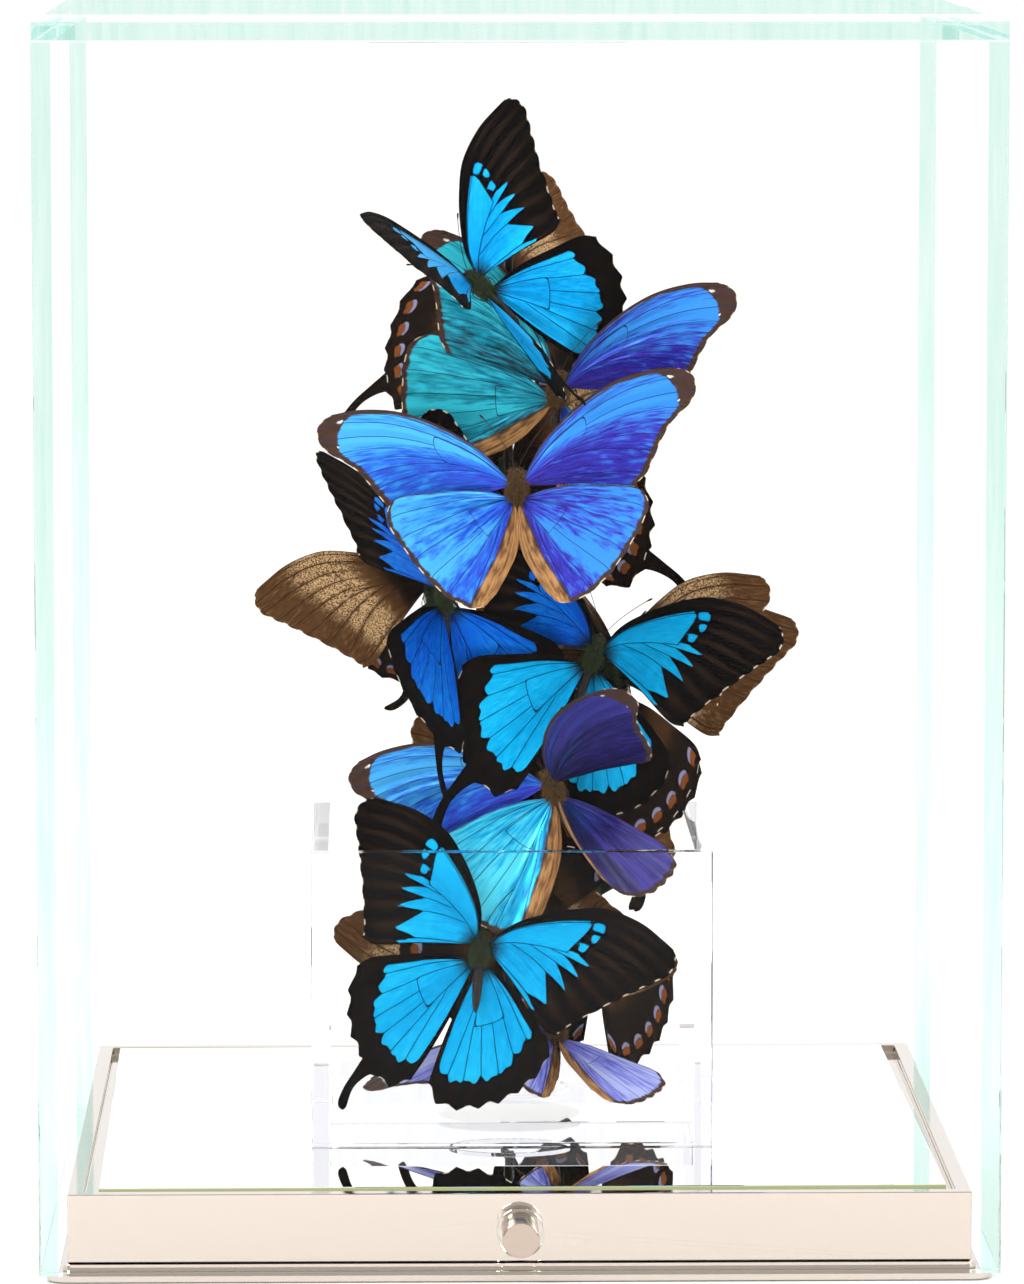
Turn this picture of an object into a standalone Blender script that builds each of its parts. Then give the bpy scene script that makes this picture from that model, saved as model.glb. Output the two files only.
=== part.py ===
"""Glass display case with a column of sixteen mounted butterflies.

A five-pane glass hood stands over a steel plinth with a mirror top. A clear acrylic box
stands on the mirror, and the butterflies rise out of it, each glued to a branch of one
thin stem. Blender 4.5: blender --background --python part.py

Frame: metres, +Z up, the front looks to -Y. The origin lies under the middle of the hood,
on the surface that the case stands on.
"""

import math
from collections import namedtuple

import bmesh
import bpy
from mathutils import Matrix, Vector

MM = 0.001

# Gaps between neighbouring pieces
JOINT = 0.3 * MM            # glue line, or two pieces that rest on each other

# Base plate and plinth
BASE_WIDTH = 296 * MM
BASE_THICKNESS = 2 * MM
BASE_CORNER = 7 * MM
STEP_WIDTH = 286 * MM       # raised step that keeps the hood in place
STEP_HEIGHT = 2.7 * MM
STEP_CORNER = 3 * MM
PLINTH_WIDTH = 283 * MM
PLINTH_TOP = 26.6 * MM
PLINTH_SHEET = 1.2 * MM
PLINTH_RIM = 6.9 * MM
RECESS_DEPTH = 2.7 * MM

# Mirror plate, lying slightly turned in its recess
MIRROR_WIDTH = 266 * MM
MIRROR_THICKNESS = 3 * MM
MIRROR_TURN = math.radians(0.5)

# Hood
HOOD_WIDTH = 300 * MM
HOOD_TOP = 392 * MM
GLASS = 6 * MM

# Lock screw through the front pane
SCREW_HEIGHT = 15 * MM
SCREW_HOLE_RADIUS = 7.25 * MM
SCREW_RADIUS = 5.75 * MM
SCREW_REACH = 9 * MM        # how far the head stands out of the pane
SCREW_EDGE = 0.5 * MM
SHANK_RADIUS = 2.5 * MM
SHANK_LENGTH = 6 * MM

# Acrylic box
BOX_WIDTH = 129.4 * MM
BOX_X = -1 * MM
BOX_WALL = 5.8 * MM
BOX_BOTTOM = 27.55 * MM
BOX_TOP = 123.3 * MM
BOX_FLOOR = 7 * MM
PAD_RADIUS = 23.5 * MM
PAD_THICKNESS = 0.15 * MM

# Stem
FOOT_RADIUS = 20 * MM
FOOT_THICKNESS = 1.5 * MM
STEM_PLACE = Vector((-1 * MM, 1 * MM, 0))
STEM_RADIUS = 1.5 * MM
STEM_TOP = 325 * MM
BRANCH_RADIUS = 0.5 * MM
BRANCH_GAP = 4.2 * MM       # from a body's middle line to the end of its branch

# Wings
WING_THICKNESS = 0.5 * MM
LAYER = 0.45 * MM           # forewings lie this far above, hindwings below, the body's line
FORE_ROOT = 1.5 * MM
HIND_ROOT = -3 * MM
ROOT_OFFSET = 1 * MM

ROUND_STEPS = 48
BODY_STEPS = 8

# Outlines run from the root along the leading edge to the tip and back along the trailing
# edge, in wing lengths: x along the wing, y across it.
SWALLOWTAIL_FORE = (
    (0, 0), (0.13, -0.12), (0.28, -0.185), (0.45, -0.225), (0.62, -0.235), (0.8, -0.175),
    (0.93, -0.085), (1, 0), (0.97, 0.09), (0.83, 0.17), (0.63, 0.285), (0.46, 0.395),
    (0.41, 0.44), (0.33, 0.4), (0.2, 0.22), (0.06, 0.05))
SWALLOWTAIL_HIND_LEADING = (
    (0, 0), (0.14, -0.205), (0.31, -0.36), (0.47, -0.49), (0.58, -0.52), (0.67, -0.44),
    (0.75, -0.42), (0.81, -0.31), (0.915, -0.244), (0.975, -0.11))
SWALLOWTAIL_TAIL = (
    (1, -0.05), (1.22, -0.03), (1.36, 0.05), (1.37, 0.13), (1.3, 0.11), (1.18, 0.045),
    (1.01, 0.087))
SWALLOWTAIL_BROKEN_TAIL = ((1, 0.02),)
SWALLOWTAIL_HIND_TRAILING = ((0.98, 0.22), (0.85, 0.26), (0.61, 0.21), (0.33, 0.13))
MORPHO_FORE = (
    (0, 0), (0.19, -0.11), (0.35, -0.16), (0.51, -0.184), (0.667, -0.18), (0.83, -0.1375),
    (0.95, -0.077), (1, 0), (0.983, 0.058), (0.928, 0.104), (0.793, 0.138), (0.694, 0.192),
    (0.564, 0.279), (0.474, 0.305), (0.25, 0.15))
MORPHO_HIND = (
    (0, 0), (0.3, -0.33), (0.6, -0.55), (0.8, -0.6), (0.9, -0.5), (0.955, -0.33),
    (1, -0.12), (0.996, 0.077), (0.943, 0.26), (0.866, 0.37), (0.725, 0.44), (0.52, 0.477),
    (0.336, 0.43), (0.12, 0.17))

# Body profiles, front to back: (radius, place along the body) in mm
SWALLOWTAIL_BODY = (
    (0, 8), (1.5, 7), (1.5, 5.4), (2.7, 3.4), (3.3, 0), (2.9, -3), (2, -5), (2.5, -9),
    (2.1, -15), (0, -20))
MORPHO_BODY = (
    (0, 7.5), (1.6, 6.5), (1.6, 5), (2.9, 3), (3.4, 0), (3, -3), (2.1, -5), (2.4, -8),
    (1.9, -14), (0, -18))

Species = namedtuple("Species", "fore hind body fore_length hind_length colour")
SWALLOWTAIL = Species(
    SWALLOWTAIL_FORE, None, SWALLOWTAIL_BODY, 61.5 * MM, 54 * MM, (0.02, 0.16, 0.42))
MORPHO = Species(MORPHO_FORE, MORPHO_HIND, MORPHO_BODY, 66 * MM, 50 * MM, (0.06, 0.14, 0.55))

# Degrees: turn of a wing in the front plane (0 right, 90 up), its lean towards the front,
# and its spin about its own length. Tails show whether a hindwing keeps its tail.
Wing = namedtuple("Wing", "turn lean spin scale tail", defaults=(0, 0, 1, True))
LEFT, RIGHT = 1, -1         # of someone who looks at the front
FRONT, BACK = 1, -1         # the way the upper side faces

# place in mm; heading and nod of the body in degrees, as a wing's turn and lean. A branch
# leaves the stem rise mm above the body and reaches it grip mm ahead of its middle.
Butterfly = namedtuple(
    "Butterfly", "name species size place heading nod facing rise wings grip", defaults=(2,))
BUTTERFLIES = (
    Butterfly("swallowtail_crown", SWALLOWTAIL, 0.98, (-10.5, -24, 303), 135, 20, FRONT, 18,
              {"left_fore": Wing(147, 43, 76), "left_hind": Wing(-46, 50, 78),
               "right_fore": Wing(80, -5, -30), "right_hind": Wing(-20, -26)}),
    Butterfly("morpho_upper", MORPHO, 1, (15, -8, 267.5), 85, 0, FRONT, 0,
              {"left_fore": Wing(130), "left_hind": Wing(192),
               "right_fore": Wing(30, 12), "right_hind": Wing(-75, 0, -55)}),
    Butterfly("morpho_middle", MORPHO, 1, (1, -42, 238.5), 90, 0, FRONT, -6,
              {"left_fore": Wing(163.5), "left_hind": Wing(227, 44),
               "right_fore": Wing(32.4), "right_hind": Wing(-43, 46)}),
    Butterfly("swallowtail_left", SWALLOWTAIL, 1, (-22, -22, 201.5), 90, 0, FRONT, -27,
              {"left_fore": Wing(131, 0, -58), "left_hind": Wing(268, 42, -50),
               "right_fore": Wing(95, 8), "right_hind": Wing(-66, -8)}),
    Butterfly("swallowtail_centre", SWALLOWTAIL, 1, (26.5, -18, 181.5), 71, 0, FRONT, 0,
              {"left_fore": Wing(131, 0, -30), "left_hind": Wing(222, 16),
               "right_fore": Wing(7, 10), "right_hind": Wing(-88, -12, -30)}),
    Butterfly("morpho_lower", MORPHO, 1, (13, -25, 139), 110, 0, FRONT, 21,
              {"left_fore": Wing(178.5, -8), "left_hind": Wing(262, 33, 30),
               "right_fore": Wing(74, 50, -15), "right_hind": Wing(-54, 22, 65)}),
    Butterfly("swallowtail_foot", SWALLOWTAIL, 1.03, (-11, -41, 87.5), 85, -20, FRONT, 0,
              {"left_fore": Wing(126, 12), "left_hind": Wing(228, 5, 0, 0.9, False),
               "right_fore": Wing(-4, -4), "right_hind": Wing(-100, 8, 0, 0.88, False)}),
    Butterfly("morpho_floor", MORPHO, 1, (14.5, -12, 57), 90, 0, FRONT, 0,
              {"left_fore": Wing(198, 0, 75), "left_hind": Wing(230, 58, 0, 0.6),
               "right_fore": Wing(68, -3), "right_hind": Wing(-36, 35, 65, 0.75)}),
    Butterfly("swallowtail_back_top", SWALLOWTAIL, 1, (0.5, 12, 296.5), 90, 0, BACK, 0,
              {"left_fore": Wing(88, -50, 60), "left_hind": Wing(213, -25, 35),
               "right_fore": Wing(78, -50), "right_hind": Wing(-48, -50)}),
    Butterfly("swallowtail_back_upper", SWALLOWTAIL, 1, (-1.5, 22, 236.5), 90, 0, BACK, 0,
              {"left_fore": Wing(125, -30), "left_hind": Wing(209),
               "right_fore": Wing(35, -5), "right_hind": Wing(-29, -10)}),
    Butterfly("swallowtail_back_left", SWALLOWTAIL, 0.95, (-25.5, 6, 200.5), 90, 0, BACK, 0,
              {"left_fore": Wing(183.5), "left_hind": Wing(285, -50),
               "right_fore": Wing(105, -4), "right_hind": Wing(-105, -50)}),
    Butterfly("swallowtail_back_right", SWALLOWTAIL, 1, (32.5, 4, 170), 90, 0, BACK, 0,
              {"left_fore": Wing(140, -20), "left_hind": Wing(250, -2),
               "right_fore": Wing(31, -12), "right_hind": Wing(-80, -8, 25)}),
    Butterfly("swallowtail_back_far_right", SWALLOWTAIL, 1, (36.5, 28, 165.5), 90, 0, BACK, 79,
              {"left_fore": Wing(140, -40), "left_hind": Wing(230, -8),
               "right_fore": Wing(18.5), "right_hind": Wing(-84, 0, 25, 0.95)}, grip=6),
    Butterfly("swallowtail_back_foot_right", SWALLOWTAIL, 1, (28, 34, 91.5), 90, 0, BACK, -47,
              {"left_fore": Wing(120, -15), "left_hind": Wing(250, -20, 0, 1, False),
               "right_fore": Wing(75, -15, -30),
               "right_hind": Wing(-73, 0, 46, 0.97, False)}, grip=-18),
    Butterfly("swallowtail_back_lower", SWALLOWTAIL, 1, (6.5, 12, 107), 90, 0, BACK, 0,
              {"left_fore": Wing(125), "left_hind": Wing(232),
               "right_fore": Wing(80), "right_hind": Wing(-95, 0, 0, 0.9)}),
    Butterfly("swallowtail_back_foot_left", SWALLOWTAIL, 0.94, (-0.5, 22, 81), -90, 0, BACK, 38,
              {"left_fore": Wing(-8, -1, 0, 0.97), "left_hind": Wing(75),
               "right_fore": Wing(176), "right_hind": Wing(122)}, grip=-15),
)


def clear_scene():
    for thing in list(bpy.data.objects):
        bpy.data.objects.remove(thing, do_unlink=True)


def new_collection(name):
    collection = bpy.data.collections.new(name)
    bpy.context.scene.collection.children.link(collection)
    return collection


def new_material(name, colour, roughness, metallic=0.0, alpha=1.0):
    material = bpy.data.materials.new(name)
    material.use_nodes = True
    shader = material.node_tree.nodes["Principled BSDF"]
    shader.inputs["Base Color"].default_value = (*colour, 1)
    shader.inputs["Roughness"].default_value = roughness
    shader.inputs["Metallic"].default_value = metallic
    shader.inputs["Alpha"].default_value = alpha
    return material


def link(thing, collection, material=None):
    """Moves an object into a collection of ours, with one material."""
    for old in list(thing.users_collection):
        old.objects.unlink(thing)
    collection.objects.link(thing)
    if material:
        thing.data.materials.clear()
        thing.data.materials.append(material)
    return thing


def make_cutter(thing):
    """Keeps a Boolean's other shape out of the model."""
    link(thing, CUTTERS)
    thing.hide_render = True
    thing.display_type = "WIRE"
    return thing


def box(name, low, high, material):
    """Straight block between two corners."""
    bpy.ops.mesh.primitive_cube_add(size=1)
    thing = bpy.context.active_object
    thing.name = name
    low, high = Vector(low), Vector(high)
    size = high - low
    thing.data.transform(Matrix.Diagonal((*size, 1)))
    thing.location = (low + high) / 2
    return link(thing, PARTS, material)


def cylinder(name, start, end, radius, sides=ROUND_STEPS):
    """Round bar from one point to another."""
    start, end = Vector(start), Vector(end)
    run = end - start
    bpy.ops.mesh.primitive_cylinder_add(vertices=sides, radius=radius, depth=run.length)
    thing = bpy.context.active_object
    thing.name = name
    thing.rotation_mode = "QUATERNION"
    thing.rotation_quaternion = run.to_track_quat("Z", "Y")
    thing.location = (start + end) / 2
    return thing


def boolean(thing, other, operation):
    cut = thing.modifiers.new(other.name, "BOOLEAN")
    cut.operation = operation
    cut.solver = "EXACT"
    cut.object = make_cutter(other)


def flat_curve(name, points, thickness):
    """Flat closed outline in XY, extruded evenly to both sides."""
    curve = bpy.data.curves.new(name, "CURVE")
    curve.dimensions = "2D"
    curve.fill_mode = "BOTH"
    curve.extrude = thickness / 2
    spline = curve.splines.new("POLY")
    spline.points.add(len(points) - 1)
    for point, (x, y) in zip(spline.points, points):
        point.co = (x, y, 0, 1)
    spline.use_cyclic_u = True
    thing = bpy.data.objects.new(name, curve)
    PARTS.objects.link(thing)
    return thing


def curve_to_mesh(thing):
    """Replaces a curve object by a closed mesh with the same name and place."""
    bpy.context.view_layer.update()
    evaluated = thing.evaluated_get(bpy.context.evaluated_depsgraph_get())
    mesh = bpy.data.meshes.new_from_object(evaluated)
    work = bmesh.new()
    work.from_mesh(mesh)
    bmesh.ops.remove_doubles(work, verts=work.verts, dist=0.001 * MM)
    work.to_mesh(mesh)
    work.free()
    name = thing.name
    matrix = thing.matrix_world.copy()
    bpy.data.objects.remove(thing, do_unlink=True)
    solid = bpy.data.objects.new(name, mesh)
    solid.matrix_world = matrix
    PARTS.objects.link(solid)
    return solid


def rounded_square(width, corner, steps=6):
    """Outline of a square with arcs at its corners."""
    points = []
    middle = width / 2 - corner
    for quarter in range(4):
        turn = quarter * math.pi / 2
        place = Matrix.Rotation(turn, 2) @ Vector((middle, middle))
        for step in range(steps + 1):
            angle = turn + step / steps * math.pi / 2
            points.append((place.x + corner * math.cos(angle),
                           place.y + corner * math.sin(angle)))
    return points


def turned(name, profile, steps):
    """Solid turned about Z from (radius, height) points listed from top to bottom."""
    mesh = bpy.data.meshes.new(name)
    edges = [(i, i + 1) for i in range(len(profile) - 1)]
    mesh.from_pydata([(radius, 0, height) for radius, height in profile], edges, [])
    thing = bpy.data.objects.new(name, mesh)
    PARTS.objects.link(thing)
    screw = thing.modifiers.new("Turn", "SCREW")
    screw.steps = steps
    screw.render_steps = steps
    screw.use_merge_vertices = True
    screw.merge_threshold = 0.01 * MM
    screw.use_smooth_shade = True
    return thing


def build_base():
    base = curve_to_mesh(flat_curve(
        "base_plate", rounded_square(BASE_WIDTH, BASE_CORNER), BASE_THICKNESS))
    base.location.z = BASE_THICKNESS / 2
    step = curve_to_mesh(flat_curve(
        "base_step", rounded_square(STEP_WIDTH, STEP_CORNER), STEP_HEIGHT + BASE_THICKNESS / 2))
    step.location.z = BASE_THICKNESS + STEP_HEIGHT - (STEP_HEIGHT + BASE_THICKNESS / 2) / 2
    boolean(base, step, "UNION")
    link(base, PARTS, STEEL)


def build_plinth():
    """Tray turned upside down: four sides, a rim, and a recess for the mirror."""
    bottom = BASE_THICKNESS + STEP_HEIGHT + JOINT
    work = bmesh.new()
    bmesh.ops.create_cube(work, size=1)
    size = (PLINTH_WIDTH, PLINTH_WIDTH, PLINTH_TOP - bottom)
    bmesh.ops.scale(work, vec=size, verts=work.verts)
    bmesh.ops.translate(work, vec=(0, 0, (PLINTH_TOP + bottom) / 2), verts=work.verts)
    work.faces.ensure_lookup_table()
    floor = min(work.faces, key=lambda face: face.calc_center_median().z)
    bmesh.ops.delete(work, geom=[floor], context="FACES_ONLY")
    top = max(work.faces, key=lambda face: face.calc_center_median().z)
    bmesh.ops.inset_region(work, faces=[top], thickness=PLINTH_RIM)
    walls = bmesh.ops.extrude_face_region(work, geom=[top])
    sunk = [item for item in walls["geom"] if isinstance(item, bmesh.types.BMVert)]
    bmesh.ops.translate(work, vec=(0, 0, -RECESS_DEPTH), verts=sunk)
    bmesh.ops.delete(work, geom=[top], context="FACES_ONLY")
    bmesh.ops.recalc_face_normals(work, faces=work.faces)
    mesh = bpy.data.meshes.new("plinth")
    work.to_mesh(mesh)
    work.free()
    plinth = bpy.data.objects.new("plinth", mesh)
    link(plinth, PARTS, STEEL)
    sheet = plinth.modifiers.new("Sheet", "SOLIDIFY")
    sheet.thickness = PLINTH_SHEET
    sheet.offset = -1
    sheet.use_even_offset = True
    front = -PLINTH_WIDTH / 2
    hole = cylinder("screw_thread_hole", (0, front - 3 * MM, SCREW_HEIGHT),
                    (0, front + 3 * MM, SCREW_HEIGHT), SHANK_RADIUS + JOINT)
    boolean(plinth, hole, "DIFFERENCE")


def build_mirror():
    """Mirror plate in the recess, standing a little proud of the rim."""
    half = MIRROR_WIDTH / 2
    bottom = PLINTH_TOP - RECESS_DEPTH + JOINT
    mirror = box("mirror_plate", (-half, -half, bottom),
                 (half, half, bottom + MIRROR_THICKNESS), MIRROR)
    mirror.rotation_euler.z = MIRROR_TURN


def build_hood():
    """Front and back panes run over the full width, the side panes stand between them."""
    half = HOOD_WIDTH / 2
    inner = half - GLASS
    bottom = BASE_THICKNESS + JOINT
    top = HOOD_TOP - GLASS - JOINT
    front = box("glass_front", (-half, -half, bottom), (half, -inner, top), HOOD_GLASS)
    hole = cylinder("screw_hole", (0, -half - GLASS, SCREW_HEIGHT),
                    (0, -inner + GLASS, SCREW_HEIGHT), SCREW_HOLE_RADIUS)
    boolean(front, hole, "DIFFERENCE")
    box("glass_back", (-half, inner, bottom), (half, half, top), HOOD_GLASS)
    depth = inner - JOINT
    box("glass_left", (-half, -depth, bottom), (-inner, depth, top), HOOD_GLASS)
    box("glass_right", (inner, -depth, bottom), (half, depth, top), HOOD_GLASS)
    box("glass_top", (-half, -half, HOOD_TOP - GLASS), (half, half, HOOD_TOP), HOOD_GLASS)


def build_screw():
    """Thumb screw: the head goes through the pane's hole, the shank into the plinth."""
    face = -HOOD_WIDTH / 2 - SCREW_REACH
    shoulder = -PLINTH_WIDTH / 2 - JOINT
    length = shoulder - face
    profile = (
        (0, 0), (SCREW_RADIUS - SCREW_EDGE, 0), (SCREW_RADIUS, -SCREW_EDGE),
        (SCREW_RADIUS, -length), (SHANK_RADIUS, -length),
        (SHANK_RADIUS, -length - SHANK_LENGTH), (0, -length - SHANK_LENGTH))
    screw = turned("lock_screw", profile, ROUND_STEPS)
    screw.rotation_euler.x = math.pi / 2
    screw.location = (0, face, SCREW_HEIGHT)
    link(screw, PARTS, STEEL)


def build_box():
    """Open acrylic box: the floor lies between the four walls."""
    half = BOX_WIDTH / 2
    inner = half - BOX_WALL
    left, right = BOX_X - half, BOX_X + half
    box("box_front", (left, -half, BOX_BOTTOM), (right, -inner, BOX_TOP), ACRYLIC)
    box("box_back", (left, inner, BOX_BOTTOM), (right, half, BOX_TOP), ACRYLIC)
    depth = inner - JOINT
    box("box_left", (left, -depth, BOX_BOTTOM), (left + BOX_WALL, depth, BOX_TOP), ACRYLIC)
    box("box_right", (right - BOX_WALL, -depth, BOX_BOTTOM), (right, depth, BOX_TOP), ACRYLIC)
    box("box_floor", (BOX_X - depth, -depth, BOX_BOTTOM),
        (BOX_X + depth, depth, BOX_BOTTOM + BOX_FLOOR), ACRYLIC)
    mirror_top = PLINTH_TOP - RECESS_DEPTH + JOINT + MIRROR_THICKNESS
    pad_bottom = (mirror_top + BOX_BOTTOM - PAD_THICKNESS) / 2
    pad = cylinder("box_pad", (BOX_X, 0, pad_bottom),
                   (BOX_X, 0, pad_bottom + PAD_THICKNESS), PAD_RADIUS)
    link(pad, PARTS, ACRYLIC)


def heading_of(butterfly):
    """Unit vector from the tail to the head."""
    turn, lean = math.radians(butterfly.heading), math.radians(butterfly.nod)
    return Vector((math.cos(turn) * math.cos(lean), -math.sin(lean),
                   math.sin(turn) * math.cos(lean)))


def build_stem():
    """Foot disc, upright stem, and one branch wire for each butterfly."""
    foot_bottom = BOX_BOTTOM + BOX_FLOOR + JOINT
    foot_top = foot_bottom + FOOT_THICKNESS
    up = Vector((0, 0, 1))
    foot = cylinder("foot_disc", STEM_PLACE + foot_bottom * up,
                    STEM_PLACE + foot_top * up, FOOT_RADIUS)
    link(foot, PARTS, ACRYLIC)
    stem = cylinder("stem", STEM_PLACE + (foot_top + JOINT) * up,
                    STEM_PLACE + STEM_TOP * up, STEM_RADIUS, 12)
    link(stem, PARTS, STEEL)
    for butterfly in BUTTERFLIES:
        body = Vector(butterfly.place) * MM
        start = STEM_PLACE + (body.z + butterfly.rise * MM) * up
        heading = heading_of(butterfly)
        grip = body + heading * butterfly.grip * MM
        run = (start - grip).normalized()
        end = grip + run * BRANCH_GAP / run.cross(heading).length
        branch = cylinder("branch_" + butterfly.name, start, end, BRANCH_RADIUS, 6)
        boolean(stem, branch, "UNION")


def wing_axes(side, wing):
    """Matrix whose columns run along the wing, across it to its trailing edge, and out."""
    turn, lean, spin = (math.radians(v) for v in (wing.turn, wing.lean, wing.spin))
    along = Vector((math.cos(turn) * math.cos(lean), -math.sin(lean),
                    math.sin(turn) * math.cos(lean)))
    across = Vector((-math.sin(turn), 0, math.cos(turn))) * side
    forward = along.cross(across)
    if forward.y > 0:
        forward.negate()
    across = across * math.cos(spin) + forward * math.sin(spin)
    return Matrix((along, across, along.cross(across))).transposed()


def hind_outline(species, wing):
    if species.hind:
        return species.hind
    tail = SWALLOWTAIL_TAIL if wing.tail else SWALLOWTAIL_BROKEN_TAIL
    return SWALLOWTAIL_HIND_LEADING + tail + SWALLOWTAIL_HIND_TRAILING


def build_wing(butterfly, key, body_place, heading):
    """One flat wing with its root inside the body."""
    species = butterfly.species
    wing = butterfly.wings[key]
    side = LEFT if key.startswith("left") else RIGHT
    fore = key.endswith("fore")
    if fore:
        outline, length = species.fore, species.fore_length
    else:
        outline, length = hind_outline(species, wing), species.hind_length
    length *= butterfly.size * wing.scale
    points = [(x * length, y * length) for x, y in outline]
    plate = flat_curve(butterfly.name + "_" + key, points, WING_THICKNESS)
    turn = math.radians(butterfly.heading)
    sideways = Vector((-math.sin(turn), 0, math.cos(turn))) * side
    root = body_place + heading * (FORE_ROOT if fore else HIND_ROOT) + sideways * ROOT_OFFSET
    root.y += LAYER * butterfly.facing * (-1 if fore else 1)
    plate.matrix_world = Matrix.Translation(root) @ wing_axes(side, wing).to_4x4()
    return curve_to_mesh(plate)


def build_butterfly(butterfly):
    """Turned body with four wings grown on it."""
    species = butterfly.species
    scale = butterfly.size * MM
    profile = [(radius * scale, height * scale) for radius, height in species.body]
    body = turned(butterfly.name, profile, BODY_STEPS)
    heading = heading_of(butterfly)
    place = Vector(butterfly.place) * MM
    body.rotation_mode = "QUATERNION"
    body.rotation_quaternion = heading.to_track_quat("Z", "Y")
    body.location = place
    for key in butterfly.wings:
        boolean(body, build_wing(butterfly, key, place, heading), "UNION")
    material = new_material(butterfly.name + "_scales", species.colour, 0.5)
    link(body, PARTS, material)


clear_scene()
PARTS = new_collection("framed_butterfly_specimen")
CUTTERS = new_collection("cutters")
STEEL = new_material("polished_steel", (0.78, 0.76, 0.73), 0.08, metallic=1)
MIRROR = new_material("mirror_glass", (0.9, 0.92, 0.9), 0.02, metallic=1)
HOOD_GLASS = new_material("hood_glass", (0.8, 0.92, 0.89), 0.02, alpha=0.25)
ACRYLIC = new_material("clear_acrylic", (0.95, 0.96, 0.97), 0.03, alpha=0.25)
build_base()
build_plinth()
build_mirror()
build_hood()
build_screw()
build_box()
build_stem()
for specimen in BUTTERFLIES:
    build_butterfly(specimen)
for part in PARTS.objects:
    part.data.shade_smooth()
    part.data.set_sharp_from_angle(angle=math.radians(30))
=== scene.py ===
# %% [markdown]
# # A glass case of mounted butterflies
#
# A hood of clear glass stands over a polished steel plinth with a mirror on top. On the
# mirror stands a clear acrylic box, and sixteen dry butterflies rise out of it in a column.
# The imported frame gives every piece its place, and this script gives every piece its finish.
# A frame node whose shape is already right keeps it, or lends a copy whose edges are
# rounded. The butterflies are made anew as surfaces worked out with numpy.

# %% Load the frame
import math
from collections import namedtuple

import bpy
import numpy as np
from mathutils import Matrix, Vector


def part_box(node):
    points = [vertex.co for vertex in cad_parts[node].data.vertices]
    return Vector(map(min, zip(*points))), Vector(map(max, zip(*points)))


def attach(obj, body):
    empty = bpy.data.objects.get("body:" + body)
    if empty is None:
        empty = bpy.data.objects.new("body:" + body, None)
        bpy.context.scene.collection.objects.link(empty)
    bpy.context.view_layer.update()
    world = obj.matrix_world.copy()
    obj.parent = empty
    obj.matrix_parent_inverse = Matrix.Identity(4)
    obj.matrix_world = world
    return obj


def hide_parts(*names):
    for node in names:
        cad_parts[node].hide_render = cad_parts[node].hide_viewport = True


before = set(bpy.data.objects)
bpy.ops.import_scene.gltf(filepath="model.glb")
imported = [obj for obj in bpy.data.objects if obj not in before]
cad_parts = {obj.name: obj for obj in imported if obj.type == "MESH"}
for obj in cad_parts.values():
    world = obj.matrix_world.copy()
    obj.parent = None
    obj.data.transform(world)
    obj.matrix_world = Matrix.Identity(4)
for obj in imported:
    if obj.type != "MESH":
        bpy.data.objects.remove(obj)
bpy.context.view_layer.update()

MM = 0.001

# %% [markdown]
# ## Colours and nodes
#
# Colours are chosen as hex values, as on a screen, but Blender's shaders count in linear
# light, so one function turns them. A second function adds a shader node, fills its sockets,
# links it and hands back one of its outputs. Every finish below is built with these two.

# %% Colour and node helpers
def linear(hex_colour):
    """Linear RGBA of an sRGB hex value: each channel c goes to ((c + 0.055) / 1.055) ** 2.4,
    or to c / 12.92 where it is nearly black."""
    channels = [int(hex_colour[i:i + 2], 16) / 255 for i in (1, 3, 5)]
    return (*[((c + 0.055) / 1.055) ** 2.4 if c > 0.04045 else c / 12.92 for c in channels], 1)


def add(tree, kind, sockets=None, output=0, **settings):
    """Adds a shader node and returns one of its outputs. A socket is given a number or a
    colour, another node's output, or the name of a number that the mesh itself carries."""
    made = tree.nodes.new("ShaderNode" + kind)
    for name, value in settings.items():
        setattr(made, name, value)
    for name, value in (sockets or {}).items():
        if isinstance(value, str):
            value = add(tree, "Attribute", output="Fac", attribute_name=value)
        if isinstance(value, bpy.types.NodeSocket):
            tree.links.new(value, made.inputs[name])
        else:
            made.inputs[name].default_value = value
    return made.outputs[output] if made.outputs else None


def finish_named(name, sockets):
    """New material with one Principled shader. Returns the material, its tree and shader."""
    material = bpy.data.materials.new(name)
    material.use_nodes = True
    tree = material.node_tree
    tree.nodes.clear()
    surface = add(tree, "BsdfPrincipled", sockets)
    add(tree, "OutputMaterial", {"Surface": surface})
    return material, tree, surface.node


# %% [markdown]
# ## Camera
#
# A long lens from just over two metres keeps the case's sides nearly parallel. The camera
# stands a little to the left and looks slightly down, so that the mirror shows. A short lens
# close by would fit the case too, but its near corners would swell.

# %% Make the camera
CAMERA_PLACE = Vector((-0.0458, -2.420, 0.4545))
CAMERA_LOOK = Vector((0.0190, 1, -0.1117))
LENS = 207.4                 # mm, on film 36 mm wide
FILM = 36

camera = bpy.data.objects.new("camera", bpy.data.cameras.new("camera"))
bpy.context.scene.collection.objects.link(camera)
camera.location = CAMERA_PLACE
camera.rotation_mode = "QUATERNION"
camera.rotation_quaternion = CAMERA_LOOK.to_track_quat("-Z", "Y")
camera.data.lens = LENS
camera.data.sensor_width = FILM
camera.data.clip_start = 0.05
bpy.context.scene.camera = camera

# %% [markdown]
# ## Floor and room
#
# Glass is shown best against white. A curved paper sweep would do, but a wide flat floor is
# simpler. It glows a little, so that it meets the white room without a line. The room is a
# gradient along Y, dimmer in front, so that the steel has something darker to mirror. The
# Standard view keeps the blues as strong as on real wings.

# %% Make the floor
FLOOR_SIZE = 60.0            # m
FLOOR_DROP = 0.0005          # m below the base plate's underside
FLOOR_GLOW = 0.06
bpy.context.scene.view_settings.view_transform = "Standard"

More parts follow.
